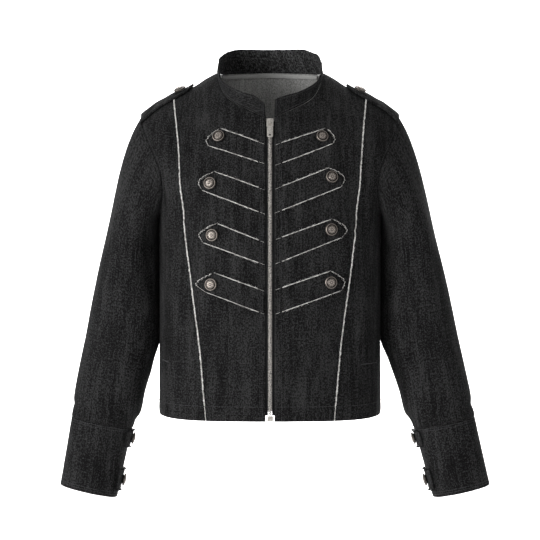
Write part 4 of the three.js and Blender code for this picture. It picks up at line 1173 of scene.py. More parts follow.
@dataclass(frozen=True)
class Metal:
    """Cast or stamped metal, duller and darker where grime stays."""
    name: str
    grime: Colour
    bright: Colour
    roughness: float
    patina: bool = False

    def material(self) -> bpy.types.Material:
        """Builds the material; on a button the map's V is the height of its relief."""
        graph = Graph(self.name)
        at = graph.node("ShaderNodeTexCoord").outputs["Object"]
        wear = graph.noise(at, 1.6, 1.6, 3.0)
        share = wear.step(0.3, 0.62)
        if self.patina:
            # On a button the relief's height sets the colour: dark patina in the grooves is the metal's own, while the
            # bright rosette and centre are partly a painted highlight.
            split = graph.node("ShaderNodeSeparateXYZ", {}, {"Vector": graph.cloth_map()})
            raised = Value(graph, split.outputs["Y"])
            share = (raised * 1000.0 + (wear - 0.5) * 0.7).clamped()
        graph.feed(graph.surface.inputs["Base Color"], graph.mixed(share, self.grime, self.bright))
        graph.feed(graph.surface.inputs["Roughness"], (self.roughness + 0.18 - share * 0.18).clamped())
        graph.bump(graph.noise(at, 0.5, 0.5, 2.0, 7.0), 0.00008, 0.6)
        graph.set(Metallic=1.0)
        return graph.material


@dataclass
class Wardrobe:
    """All the jacket's finishes."""
    denim: bpy.types.Material = field(init=False)
    reverse: bpy.types.Material = field(init=False)
    tab: bpy.types.Material = field(init=False)
    facing: bpy.types.Material = field(init=False)
    fray: bpy.types.Material = field(init=False)
    black_fray: bpy.types.Material = field(init=False)
    thread: bpy.types.Material = field(init=False)
    neck_tape: bpy.types.Material = field(init=False)
    zip_tape: bpy.types.Material = field(init=False)
    zip_metal: bpy.types.Material = field(init=False)
    pull_metal: bpy.types.Material = field(init=False)
    button_metal: bpy.types.Material = field(init=False)

    def __post_init__(self) -> None:
        """Builds the materials."""
        self.denim = Denim("black denim", (0.0022, 0.0022, 0.0023), (0.033, 0.033, 0.0335)).material()
        self.reverse = Denim("denim reverse", (0.17, 0.17, 0.166), (0.45, 0.446, 0.432), 0.5).material()
        self.tab = Denim("tab denim", (0.0024, 0.0024, 0.0025), (0.035, 0.035, 0.0355), 1.05).material()
        # A copy of the denim about twice as light for the collar's inside face: painted light where the collar's inside
        # lies in shade.
        self.facing = Denim("collar facing denim", (0.0045, 0.0045, 0.0046), (0.07, 0.07, 0.071)).material()
        self.fray = Thread("white yarn", (0.30, 0.29, 0.275), (0.86, 0.85, 0.82)).material()
        # Black yarn darker than the denim: the cuff tabs' black fray, and painted shadow by the front tabs' buttons.
        self.black_fray = Thread("black yarn", (0.0015, 0.0015, 0.0016), (0.009, 0.009, 0.0095),
                                 2.0).material()
        self.thread = Thread("sewing thread", (0.025, 0.025, 0.027), (0.058, 0.058, 0.06)).material()
        self.neck_tape = Tape("neck tape", (0.2, 0.2, 0.197), (0.48, 0.475, 0.463)).material()
        self.zip_tape = Tape("zip tape", (0.004, 0.004, 0.0045), (0.014, 0.014, 0.015)).material()
        self.zip_metal = Metal("zip metal", (0.17, 0.16, 0.15), (0.60, 0.57, 0.535), 0.34).material()
        self.pull_metal = Metal("pull metal", (0.38, 0.36, 0.33), (0.72, 0.69, 0.645), 0.3).material()
        self.button_metal = Metal("pewter", (0.012, 0.010, 0.009), (0.46, 0.41, 0.37), 0.28, True).material()

# Pieces


def dress(made: bpy.types.Object, node: str | None,
          body: Body = Body.GARMENT) -> bpy.types.Object:
    """Lets a piece ride on its body and stand for its node, whose solid it hides."""
    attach(made, body.value)
    if node:
        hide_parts(node)
    return made


def cloth_piece(name: str, net: Net, builder: MeshBuilder, materials: Sequence[bpy.types.Material]) -> bpy.types.Object:
    """Makes a sheet of cloth that replaces the node of the same name, and logs its cut's size.

    Args:
        name: The node's name.
        net: The net that gives the cut's size.
        builder: The cloth's mesh.
        materials: Its face and reverse.

    Returns:
        The piece.
    """
    made = dress(builder.build(f"cloth_{name}", materials), name)
    width, length, area = net.flat_size()
    log.info("%s: %.0f x %.0f mm, %.4f m2", name, width * 1000, length * 1000, area)
    return made


def loose_piece(name: str, builder: MeshBuilder, material: bpy.types.Material) -> bpy.types.Object:
    """Makes a piece of threads."""
    return dress(builder.build(name, [material]), None)


def row_at(net: Net, distance: float) -> tuple[Array, Array]:
    """Points and normals along a line of the net, at a distance from its first or, below 0, last row."""
    points, normals = net.points, net.normals
    if distance < 0:
        points, normals = points[::-1], normals[::-1]
    at = np.pad(np.cumsum(np.linalg.norm(np.diff(points, axis=0), axis=-1), axis=0), ((1, 0), (0, 0)))
    found = [[np.interp(abs(distance), at[:, i], values[:, i, k]) for k in range(3)]
             for values in (points, normals) for i in range(points.shape[1])]
    half = points.shape[1]
    return np.array(found[:half]), unit(np.array(found[half:]))


def column_at(net: Net, distance: float) -> tuple[Array, Array]:
    """Points and normals up a line of the net, at a distance from its first or, below 0, last column."""
    turned = Net(net.points.transpose(1, 0, 2), net.normals.transpose(1, 0, 2), net.uv)
    return row_at(turned, distance)


@dataclass
class BodyPanels:
    """Front and back panels with their topstitching."""
    finishes: Wardrobe
    placket_lines: dict[Side, tuple[float, ...]] = field(
        default_factory=lambda: {Side.RIGHT: (5.3, 8.4), Side.LEFT: (1.9, 10.5)})
    seam_line: float = 3.2

    def center_net(self, side: Side) -> Net:
        """Net of a centre front."""
        columns = close_steps(NECK_FRONT + SHOULDER_INNER, 4) / (NECK_FRONT + SHOULDER_INNER)
        low = float(hem_place(FRONT.place(FRONT_EDGE_X, HEM_Z)[0])[0])
        right = princess_edge(-SEAM_HALF, ROWS)
        split = NECK_FRONT / (NECK_FRONT + SHOULDER_INNER)

        def top(u: Array) -> Array:
            """Neckline, then the shoulder."""
            neck = neckline_places(NECKLINE_FRONT, np.minimum(u / split, 1), FRONT)
            x = blend(SHOULDER_SEAM_X, PRINCESS_TOP_X - SEAM_HALF, np.maximum(0, (u - split) / (1 - split)))
            return np.where((u < split - 1e-9)[:, None], neck, shoulder_place(x, FRONT))

        edge = lambda z: FRONT_EDGE_X + 0 * z
        left = verticals(edge_at_x(edge, HEM_Z, UNDERARM_Z, FRONT),
                         edge_at_x(edge, UNDERARM_Z, NECKLINE_FRONT[0][1], FRONT), ROWS, FRONT)
        bottom = lambda u: hem_place(blend(low, right[0, 0], u))
        return panel_net(bottom, top, left, right, columns, FRONT, side, 0.0)

    def side_net(self, side: Side) -> Net:
        """Net of a side front."""
        columns = close_steps(SHOULDER_OUTER, 6) / SHOULDER_OUTER
        left = princess_edge(SEAM_HALF, ROWS)
        bottom = lambda u: hem_place(blend(left[0, 0], math.pi / 2, u))
        top = lambda u: shoulder_place(blend(PRINCESS_TOP_X + SEAM_HALF, SHOULDER_END_X, u), FRONT)
        right = side_edge(FRONT, ARMHOLE_FRONT, ROWS)
        return panel_net(bottom, top, left, right, columns, FRONT, side, 431.0)

    def back_net(self) -> Net:
        """Net of the whole back."""
        count = NECK_BACK + SHOULDER_INNER + SHOULDER_OUTER
        close = 1 - np.array([0.002, 0.005, 0.01])
        columns = np.unique(np.concatenate([np.linspace(0, 1, count * 4 + 1), close]))
        neck, inner = NECK_BACK / count, (NECK_BACK + SHOULDER_INNER) / count

        def top(u: Array) -> Array:
            """Neckline, then the shoulder."""
            edge = neckline_places(NECKLINE_BACK, np.minimum(u / neck, 1), BACK)
            first = blend(SHOULDER_SEAM_X, PRINCESS_TOP_X, np.clip((u - neck) / (inner - neck), 0, 1))
            last = blend(PRINCESS_TOP_X, SHOULDER_END_X, np.maximum(0, u - inner) / (1 - inner))
            x = np.where(u < inner, first, last)
            return np.where((u < neck - 1e-9)[:, None], edge, shoulder_place(x, BACK))

        left = verticals(edge_at_x(lambda z: 0 * z, HEM_Z, UNDERARM_Z, BACK),
                         edge_at_x(lambda z: 0 * z, UNDERARM_Z, NECKLINE_BACK[0][1], BACK), ROWS, BACK)
        right = side_edge(BACK, ARMHOLE_BACK, ROWS)
        bottom = lambda u: hem_place(u * math.pi / 2)
        halves = [panel_net(bottom, top, left, right, columns, BACK, side, 0.0)
                  for side in (Side.RIGHT, Side.LEFT)]
        joined = [np.concatenate([a[:, ::-1][:, :-1], b], axis=1) for a, b in
                  zip(*[(half.points, half.normals, half.uv) for half in halves])]
        return Net(*joined)

    def build(self) -> None:
        """Builds the panels and their stitches."""
        depth = -np.interp(ROWS, [0, 1.9, 2.1, 30], [HEM_CLOTH, HEM_CLOTH, CLOTH, CLOTH])
        faces = [self.finishes.denim, self.finishes.reverse]
        stitches = MeshBuilder()
        nets = {"back": self.back_net()}
        for side in Side:
            nets[f"front_center_{side.label}"] = self.center_net(side)
            nets[f"front_side_{side.label}"] = self.side_net(side)
        for name, net in nets.items():
            cloth_piece(name, net, net.shell(0, depth), faces)
            points, normals = row_at(net, HEM_DEPTH)
            add_stitches(stitches, points[2:-2], normals[2:-2])
        for side in Side:
            center, outer = nets[f"front_center_{side.label}"], nets[f"front_side_{side.label}"]
            for distance in self.placket_lines[side]:
                points, normals = column_at(center, distance)
                add_stitches(stitches, points[3:-3], normals[3:-3])
            points, normals = column_at(outer, -self.seam_line)
            top = points[:, 2] > UNDERARM_Z + 8
            add_stitches(stitches, points[top], normals[top], radius=0.26)
            self.pocket_tack(stitches, side)
        loose_piece("body_stitches", stitches, self.finishes.thread)

    def pocket_tack(self, stitches: MeshBuilder, side: Side) -> None:
        """Adds the small bar of stitches at the end of a pocket in the seam."""
        x = np.linspace(141.0, 168.0, 12) if side is Side.LEFT else np.linspace(157.0, 168.5, 8)
        z = -454.0 + (x - 150) * (0.06 if side is Side.LEFT else 0.3)
        for rise in (0.0, 1.0):
            points, normals = front_at(x, z + rise, side)
            add_stitches(stitches, points, normals, 1.9, 2.1, 0.42)


@dataclass
class Sleeves:
    """Sleeves with wide cuffs, and the small frayed tabs that the cuffs' buttons hold."""
    finishes: Wardrobe
    columns: int = 132
    head_rows: int = 34
    rows: int = 92
    cuff_rows: int = 36
    tab_half_level: float = 0.125
    tab_half_angle: float = 32.0
    tab_cloth: float = 2.0
    press: float = 1.5
    allowance_gap: float = 0.4
    allowance_width: float = 5.0
    tab_curl: float = 1.2
    knot_radius: float = 4.2

    def __post_init__(self) -> None:
        """Reads the sleeve's table."""
        self.tables = [column(SLEEVE, value) for value in range(1, 7)]
        self.inner_x = column(SLEEVE_INNER, 1)

    def creases(self, level: Array, angle: Array, side: Side) -> Array:
        """Height of the sleeve's creases."""
        degrees = np.degrees(angle)
        total = np.zeros(np.broadcast(level, angle).shape)
        for at, around, length, width, lean, height in SLEEVE_CREASES[side]:
            turn = (degrees - around - lean * (level - at) + 180) % 360 - 180
            total += height * np.exp(-(turn / width) ** 2 - ((level - at) / length) ** 2)
        return total

    def surface(self, level: Array, angle: Array, side: Side) -> Array:
        """Points of the left-hand sleeve's plain surface, swung as the given side's is."""
        outer_x, outer_z, inner_z, depth, centre_y, swing = [table(level) for table in self.tables]
        still, free = SWING_LEVELS
        inner_x = self.inner_x(level)
        inner_swing = swing * np.clip((level - still) / (free - still), 0, 1)
        flat = np.zeros_like(outer_x)
        outer = np.stack([outer_x + side.value * swing, flat, outer_z], axis=-1)
        inner = np.stack([inner_x + side.value * inner_swing, flat, inner_z], axis=-1)
        half = np.linalg.norm(outer - inner, axis=-1) / 2
        fold = np.zeros(np.broadcast(level, angle).shape)
        for at, around, deep, length in SLEEVE_FOLDS:
            near = np.maximum(0, np.cos(angle - math.radians(around))) ** 3
            fold = fold + deep * near * np.exp(-((level - at) / length) ** 2)
        shrink = 1 - fold / half
        reach = signed_power(np.cos(angle), 2 / SLEEVE_POWER) * half * shrink
        fore = signed_power(np.sin(angle), 2 / SLEEVE_POWER) * depth * shrink
        centre = (outer + inner) / 2
        centre = np.broadcast_to(centre, np.broadcast_shapes(centre.shape, reach.shape + (3,))).copy()
        centre[..., 1] = centre_y - fore
        return centre + unit(outer - inner) * reach[..., None]

    def armhole(self) -> tuple[Array, Array, Array, Array]:
        """The armhole's points, normals, directions off the body and angles round the sleeve."""
        around = np.arange(self.columns) / self.columns * 2 * ROWS_ARMHOLE
        top = ROWS_BELOW + ROWS_ARMHOLE
        first, second = around[around <= ROWS_ARMHOLE], around[around > ROWS_ARMHOLE]
        front = side_edge(FRONT, ARMHOLE_FRONT, (top - first)[::-1])[::-1]
        back = side_edge(BACK, ARMHOLE_BACK, np.concatenate([ROWS_BELOW + second - ROWS_ARMHOLE, [top]]))[:-1]
        points = np.concatenate([FRONT.point(*front.T), BACK.point(*back.T)])
        normals = np.concatenate([FRONT.normal(*front.T), BACK.normal(*back.T)])
        for i in (0, len(first) - 1):
            points[i] = (points[i] + BACK.point(*front[i])) / 2
            normals[i] = unit(normals[i] + BACK.normal(*front[i]))
        tangent = np.roll(points, -1, axis=0) - np.roll(points, 1, axis=0)
        off = unit(np.cross(tangent, normals))
        inside = np.array([-30.0, 0.0, -30.0])
        off = np.where((off @ inside > 0)[:, None], -off, off)
        return points, normals, off, around * math.pi / ROWS_ARMHOLE

    def sleeve_net(self, side: Side) -> Net:
        """Net of a sleeve, from the armhole to the cuff."""
        points, normals, off, angle = self.armhole()
        landing = self.surface(np.zeros(1), angle, side)
        following = self.surface(np.full(1, 0.1), angle, side)
        share = close_steps(1, self.head_rows, (0.006, 0.015, 0.025))[:-1]
        share = share[share < 0.97][:, None, None]
        crown = np.cos(angle)[:, None]
        reach = landing - points
        start = reach * 0.75 + normals * 30 * np.maximum(0, -crown)
        start = start + np.array([42.0, 0.0, 16.0]) * np.maximum(0, crown)
        end = unit(following - landing) * np.linalg.norm(reach, axis=-1, keepdims=True)
        head = hermite(points[None], landing[None], start[None], end[None], share)
        close = CUFF_LEVEL - np.array([0.004, 0.01, 0.02])
        levels = np.unique(np.concatenate([np.linspace(0, CUFF_LEVEL, self.rows), close]))
        rings = self.surface(levels[:, None], angle[None, :], side)
        net = np.concatenate([head, rings])
        own = net_normals(net, True)
        onward = unit(net[1] - points)
        bends = (onward * normals).sum(-1, keepdims=True) < 0
        net[0] = points + unit(onward + off) * SEAM_GAP
        own[0] = np.where(bends, normals, own[0])
        level = np.concatenate([share[:, 0, 0] - 1, levels])[:, None]
        uv = net_uv(net, True, 900.0)
        height = self.creases(level, angle[None, :], side)
        from_top = uv[:, :-1, 1]
        from_end = uv[-1:, :-1, 1] - from_top
        arc = uv[:, :-1, 0]
        height = height + 0.8 * wavy(arc * 0.5 + from_top * 0.3, 61, 41 + side.value)
        height = height + 0.55 * wavy(arc, 12, 43) * np.exp(-((from_top - 6) / 6) ** 2)
        height = height + 0.8 * wavy(arc, 10, 47 + side.value) * np.exp(-((from_end - 7) / 11) ** 2)
        height = height * smooth(0, 5, from_top) * smooth(0, 3, from_end)
        pressed = np.exp(-((np.degrees(angle[None, :]) - 180) / 34) ** 4) * (1 - smooth(1.6, 2.2, level))
        height = np.minimum(height, 0.35 + 9 * (1 - pressed)) * (1 - 0.6 * pressed)
        touching = pressed * smooth(-1.0, -0.88, level) * (1 - smooth(1.58, 1.85, level))
        height = blend(height, self.press + 3.8 * np.exp(-((level + 0.62) / 0.33) ** 2), touching)
        return self.sided(net + own * height[..., None], own, uv, side)

    def allowance(self, sleeve: Net, side: Side) -> MeshBuilder:
        """The seam allowance that lies behind the armhole seam."""
        points, normals, off, _ = self.armhole()
        flip, behind = side.flip, CLOTH + self.allowance_gap
        under = sleeve.points[6] - sleeve.normals[6] * behind
        seam = (points - normals * behind) * flip
        inner = (points - off * self.allowance_width - normals * behind) * flip
        strip = np.stack([under, (under + seam) / 2, seam, (seam + inner) / 2, inner])
        facing = np.broadcast_to(normals * flip, strip.shape)
        return Net(strip, facing, net_uv(strip, True, 1900.0), closed=True).shell(0, -0.8)

    def cuff_net(self, side: Side) -> Net:
        """Net of a cuff."""
        share = close_steps(1, self.cuff_rows, (0.004, 0.009, 0.016))
        levels = blend(CUFF_LEVEL + SEAM_GAP / 100, CUFF_END, share)
        angle = np.arange(self.columns) / self.columns * 2 * math.pi
        net = self.surface(levels[:, None], angle[None, :], side)
        own = net_normals(net, True)
        uv = net_uv(net, True, 1400.0)
        down, arc = uv[:, :-1, 1], uv[:, :-1, 0]
        height = self.cuff_relief(levels[:, None], angle[None, :], side)
        height = height + 0.4 * wavy(arc, 9, 53) * np.exp(-(down / 7) ** 2) * smooth(0, 3, down)
        height = height - 0.45 * (np.exp(-((down - 2.4) / 1.2) ** 2) + np.exp(-((down - 6.0) / 1.2) ** 2))
        return self.sided(net + own * height[..., None], own, uv, side)

    def cuff_relief(self, level: Array, angle: Array, side: Side) -> Array:
        """Soft vertical ripples of a cuff."""
        degrees = np.degrees(angle) % 360
        share = level - CUFF_LEVEL
        fold = lambda at, width, high: high * np.exp(-((degrees - at - 8 * share) / width) ** 2)
        ripples = fold(95, 9, 1.3) + fold(118, 8, -1.2) + fold(62, 10, -1.0) + fold(140, 9, 0.9)
        ripples = ripples + fold(230, 12, 1.1) + fold(262, 10, -1.0) + fold(300, 12, 0.8)
        return ripples * smooth(0, 0.12, share) * (0.65 + 0.35 * side.value * np.cos(5 * share))

    def sided(self, points: Array, normals: Array, uv: Array, side: Side) -> Net:
        """The net, mirrored for the right side."""
        return Net(points * side.flip, normals * side.flip, uv, closed=True)

    def build(self) -> None:
        """Builds both sleeves, cuffs and cuff tabs."""
        faces = [self.finishes.denim, self.finishes.reverse]
        stitches = MeshBuilder()
        for side in Side:
            sleeve, cuff = self.sleeve_net(side), self.cuff_net(side)
            cloth_piece(f"sleeve_{side.label}", sleeve, sleeve.shell(0, -CLOTH), faces)
            loose_piece(f"armhole_allowance_{side.label}", self.allowance(sleeve, side), self.finishes.denim)
            cloth_piece(f"cuff_{side.label}", cuff, cuff.shell(CUFF_PROUD, CUFF_PROUD - CUFF_CLOTH), faces)
            for distance in (2.4, 6.0, -5.0, -8.5):
                points, normals = row_at(cuff, distance)
                points, normals = (np.concatenate([values, values[:1]])
                                   for values in (points + normals * CUFF_PROUD, normals))
                add_stitches(stitches, points, normals)
            for number, level in enumerate(CUFF_TAB_LEVELS, 1):
                self.cuff_tab(number, level, side)
        loose_piece("sleeve_stitches", stitches, self.finishes.thread)

    def cuff_tab(self, number: int, level: float, side: Side) -> None:
        """Builds a cuff tab with its frayed edge and button."""
        rows, columns = np.linspace(-1, 1, 17), np.linspace(-1, 1, 29)
        levels = level + rows[:, None] * self.tab_half_level
        angles = math.pi + columns[None, :] * math.radians(self.tab_half_angle)
        points = self.surface(levels, angles, side)
        normals = net_normals(points, False)
        middle_point = self.surface(np.full((1, 1), level), np.zeros((1, 1)), side)
        if ((points - middle_point) * normals).sum() < 0:
            normals = -normals
        raised = self.cuff_relief(levels, angles, side) + self.tab_curl * np.abs(rows[:, None]) ** 3
        points = points + normals * raised[..., None]
        net = Net(points * side.flip, normals * side.flip, net_uv(points, False, 2000.0 + 90 * number))
        middle, up = net.points[8, 14], net.normals[8, 14]
        base = CUFF_PROUD + LIFT
        fray = MeshBuilder()
        rng = np.random.default_rng(SEED + number)
        lifted = net.moved(np.full(net.points.shape[:2], base + self.tab_cloth / 2))
        for line, inner in ((lifted[0], lifted[2]), (lifted[-1], lifted[-3]),
                            (lifted[:, 0], lifted[:, 2]), (lifted[:, -1], lifted[:, -3])):
            out = unit(line - inner)
            add_fray(fray, line, out, np.broadcast_to(up, line.shape), rng, 4.0, (1.2, 3.4), 0.2, 0.7, 0.9)
        seat = middle + up * (base + self.tab_cloth + SEAM_GAP)
        turn = np.linspace(0, 2 * math.pi, 40)[:, None]
        across = unit(net.points[8, 15] - middle)
        spoke = np.cos(turn) * across + np.sin(turn) * np.cross(up, across)
        add_fray(fray, seat + spoke * self.knot_radius, spoke, np.broadcast_to(up, spoke.shape), rng, 6.0,
                 (2.0, 4.6), 0.24, 0.5, 0.5)
        loose = loose_piece(f"cuff_fray_{number}_{side.label}", fray, self.finishes.black_fray)
        cloth_piece(f"cuff_tab_{number}_{side.label}", net, net.shell(base + self.tab_cloth, base),
                    [self.finishes.tab, self.finishes.tab])
        Button(self.finishes).build(f"cuff_button_{number}_{side.label}", seat, up, 17 * number)


@dataclass
class Button:
    """A domed, antiqued metal button on a shank with a beaded rim and a plain rosette."""
    finishes: Wardrobe
    radius: float = 9.8
    shank: float = 4.0
    rise: float = 1.2
    rim: float = 2.6
    height: float = 5.4
    beads: int = 30
    petals: int = 8
    around: int = 120

    def relief(self, share: Array, turn: Array) -> Array:
        """Height of the relief, 0 in the grooves and 1 on the beads and petals."""
        beads = np.exp(-((share - 0.89) / 0.06) ** 2) * (0.7 + 0.3 * np.cos(self.beads * turn))
        ring = np.exp(-((share - 0.6) / 0.03) ** 2)
        petal = np.abs(np.cos(self.petals / 2 * turn)) ** 0.8
        petals = smooth(0.56, 0.46, share) * smooth(0.16, 0.26, share) * (0.3 + 0.7 * petal)
        # Brightest in colour as well as highest: the centre is partly a painted highlight on the dome.
        centre = smooth(0.15, 0.09, share)
        return np.clip(beads + ring * 0.6 + petals * 0.9 + centre, 0, 1)

    def build(self, name: str, seat: Array, normal: Array, turned: float = 0.0) -> None:
        """Builds the button.

        Args:
            name: The node that it replaces.
            seat: The foot's middle, in millimetres.
            normal: The direction that it faces.
            turned: Degrees by which the relief is turned.
        """
        share = np.concatenate([np.linspace(0, 0.96, 44), [0.98, 1.0]])
        turn = np.arange(self.around) / self.around * 2 * math.pi
        radii = share * self.radius
        dome = self.rim + (self.height - self.rim) * np.sqrt(np.maximum(0, 1 - (share * 0.985) ** 2.3))
        detail = self.relief(share[:, None], turn[None, :] + math.radians(turned))
        edge = 1 - smooth(0.93, 1.0, share)
        top = dome[:, None] + (detail - 0.5) * 0.62 * edge[:, None]
        lower = np.array([(self.radius, (self.rim + self.rise) / 2), (self.radius * 0.985, self.rise),
                          (self.shank, self.rise), (self.shank, 0.0), (0.0, 0.0)])
        radii = np.concatenate([radii, lower[:, 0]])[:, None]
        high = np.concatenate([top, np.broadcast_to(lower[:, 1:], (len(lower), self.around))])
        local = np.stack([radii * np.cos(turn), radii * np.sin(turn), high], axis=-1)
        values = np.concatenate([detail * edge[:, None], np.full((len(lower), self.around), 0.25)])
        frame_axis = Vector(normal).to_track_quat("Z", "Y").to_matrix()
        points = local @ np.array(frame_axis).T + seat
        uv = np.stack([np.broadcast_to(turn, values.shape), values], axis=-1)
        faces, _ = grid_faces(len(local), self.around, True)
        builder = MeshBuilder()
        builder.add(points.reshape(-1, 3), faces, uv.reshape(-1, 2))
        dress(builder.build(f"domed_{name}", [self.finishes.button_metal]), name)


@dataclass
class Collar:
    """A stand collar with topstitching, and the tape inside the back neck seam."""
    finishes: Wardrobe
    rows: int = 22
    corner_drop: dict[Side, float] = field(default_factory=lambda: {Side.LEFT: 4.0, Side.RIGHT: 11.0})
    tape_height: float = 7.0
    tape_gap: float = 1.8
    tape_cloth: float = 0.8
    tape_below: float = 1.2

    def half_edge(self) -> tuple[Array, Array, Array]:
        """The neckline from the zip to the middle of the back, with normals and directions off it."""
        front = neckline_places(NECKLINE_FRONT, np.linspace(0, 1, 43), FRONT)
        back = neckline_places(NECKLINE_BACK, np.linspace(1, 0, 29), BACK)
        points = np.concatenate([FRONT.point(*front[:-1].T), BACK.point(*back.T)])
        normals = np.concatenate([FRONT.normal(*front[:-1].T), BACK.normal(*back.T)])
        seam = len(front) - 1
        normals[seam] = unit(normals[seam - 1] + normals[seam + 1])
        off = unit(np.cross(np.gradient(points, axis=0), normals))
        outside = points - np.array([0.0, 5.0, 0.0])
        outside[:, 2] = -40
        off = np.where(((off * outside).sum(-1) > 0)[:, None], -off, off)
        return points, normals, off

    def side_net(self, side: Side) -> tuple[Array, Array]:
        """Points and normals of one half of the collar."""
        edge, panel_normals, off = self.half_edge()
        lengths = run_length(edge)
        share = lengths / lengths[-1]
        top = np.stack([column(COLLAR_TOP, k)(share) for k in (1, 2, 3)], axis=-1)
        corner = np.clip(1 - share / 0.1, 0, 1)
        top[:, 2] -= self.corner_drop[side] * corner ** 2
        up = close_steps(1, self.rows, (0.006, 0.014, 0.025))[:, None, None]
        net = edge + (top - edge) * up
        normals = net_normals(net, False)
        away = net[..., :2] - np.array([0.0, 5.0])
        normals = np.where(((normals[..., :2] * away).sum(-1) < 0)[..., None], -normals, normals)
        onward = unit(net[1] - net[0])
        bends = (onward * panel_normals).sum(-1, keepdims=True) < 0
        net[0] = edge + unit(onward + off) * SEAM_GAP
        normals[0] = np.where(bends, panel_normals, normals[0])
        ripple = 0.5 * wavy(lengths + 7 * side.value, 17, 61)
        ripple = ripple + 0.45 * wavy(lengths, 46, 67 + side.value)
        ripple = ripple * smooth(6, 30, lengths)
        roll = 1.6 * np.sin(up[..., 0] * math.pi) * np.exp(-((share - 0.16) / 0.1) ** 2)
        height = ripple[None, :] * smooth(0.04, 0.3, up[..., 0]) * (0.7 + 0.5 * up[..., 0]) - roll
        return (net + normals * height[..., None]) * side.flip, normals * side.flip

    def build(self) -> None:
        """Builds the collar and the tape."""
        (left, left_normals), (right, right_normals) = self.side_net(Side.LEFT), self.side_net(Side.RIGHT)
        points = np.concatenate([left, right[:, ::-1][:, 1:]], axis=1)
        normals = np.concatenate([left_normals, right_normals[:, ::-1][:, 1:]], axis=1)
        normals[:, left.shape[1] - 1] = unit(normals[:, left.shape[1] - 1] * np.array([0.0, 1.0, 1.0]))
        net = Net(points, normals, net_uv(points, False, 3000.0))
        # The collar's inside face takes the lighter copy of the denim, painted light for the shade inside the collar.
        cloth_piece("collar", net, net.shell(0, -COLLAR_CLOTH), [self.finishes.denim, self.finishes.facing])
        stitches = MeshBuilder()
        for line, cut in ((row_at(net, -3.2), 3), (row_at(net, 3.4), 3), (column_at(net, 3.0), 3),
                          (column_at(net, -3.0), 3)):
            spots, facing = line[0][cut:-cut], line[1][cut:-cut]
            add_stitches(stitches, spots, facing, radius=0.28)
            add_stitches(stitches, spots - facing * COLLAR_CLOTH, -facing, radius=0.28)
        loose_piece("collar_stitches", stitches, self.finishes.thread)
        self.tape()

    def tape(self) -> None:
        """Builds the neck tape."""
        places = neckline_places(NECKLINE_BACK, np.linspace(0, 0.76, 30), BACK)
        top, normals = BACK.point(*places.T), BACK.normal(*places.T)
        down = unit(BACK.point(places[:, 0], places[:, 1] - 0.12) - top)
        steps = np.linspace(self.tape_below, self.tape_below + self.tape_height, 7)[:, None, None]
        half = top + down * steps
        facing = np.broadcast_to(normals, half.shape)
        flip = np.array([-1.0, 1.0, 1.0])
        points = np.concatenate([(half * flip)[:, ::-1][:, :-1], half], axis=1)
        facing = np.concatenate([(facing * flip)[:, ::-1][:, :-1], facing], axis=1)
        net = Net(points, facing, net_uv(points, False))
        front = -(CLOTH + self.tape_gap)
        cloth_piece("neck_tape", net, net.shell(front, front - self.tape_cloth, 0.3),
                    [self.finishes.neck_tape, self.finishes.neck_tape])


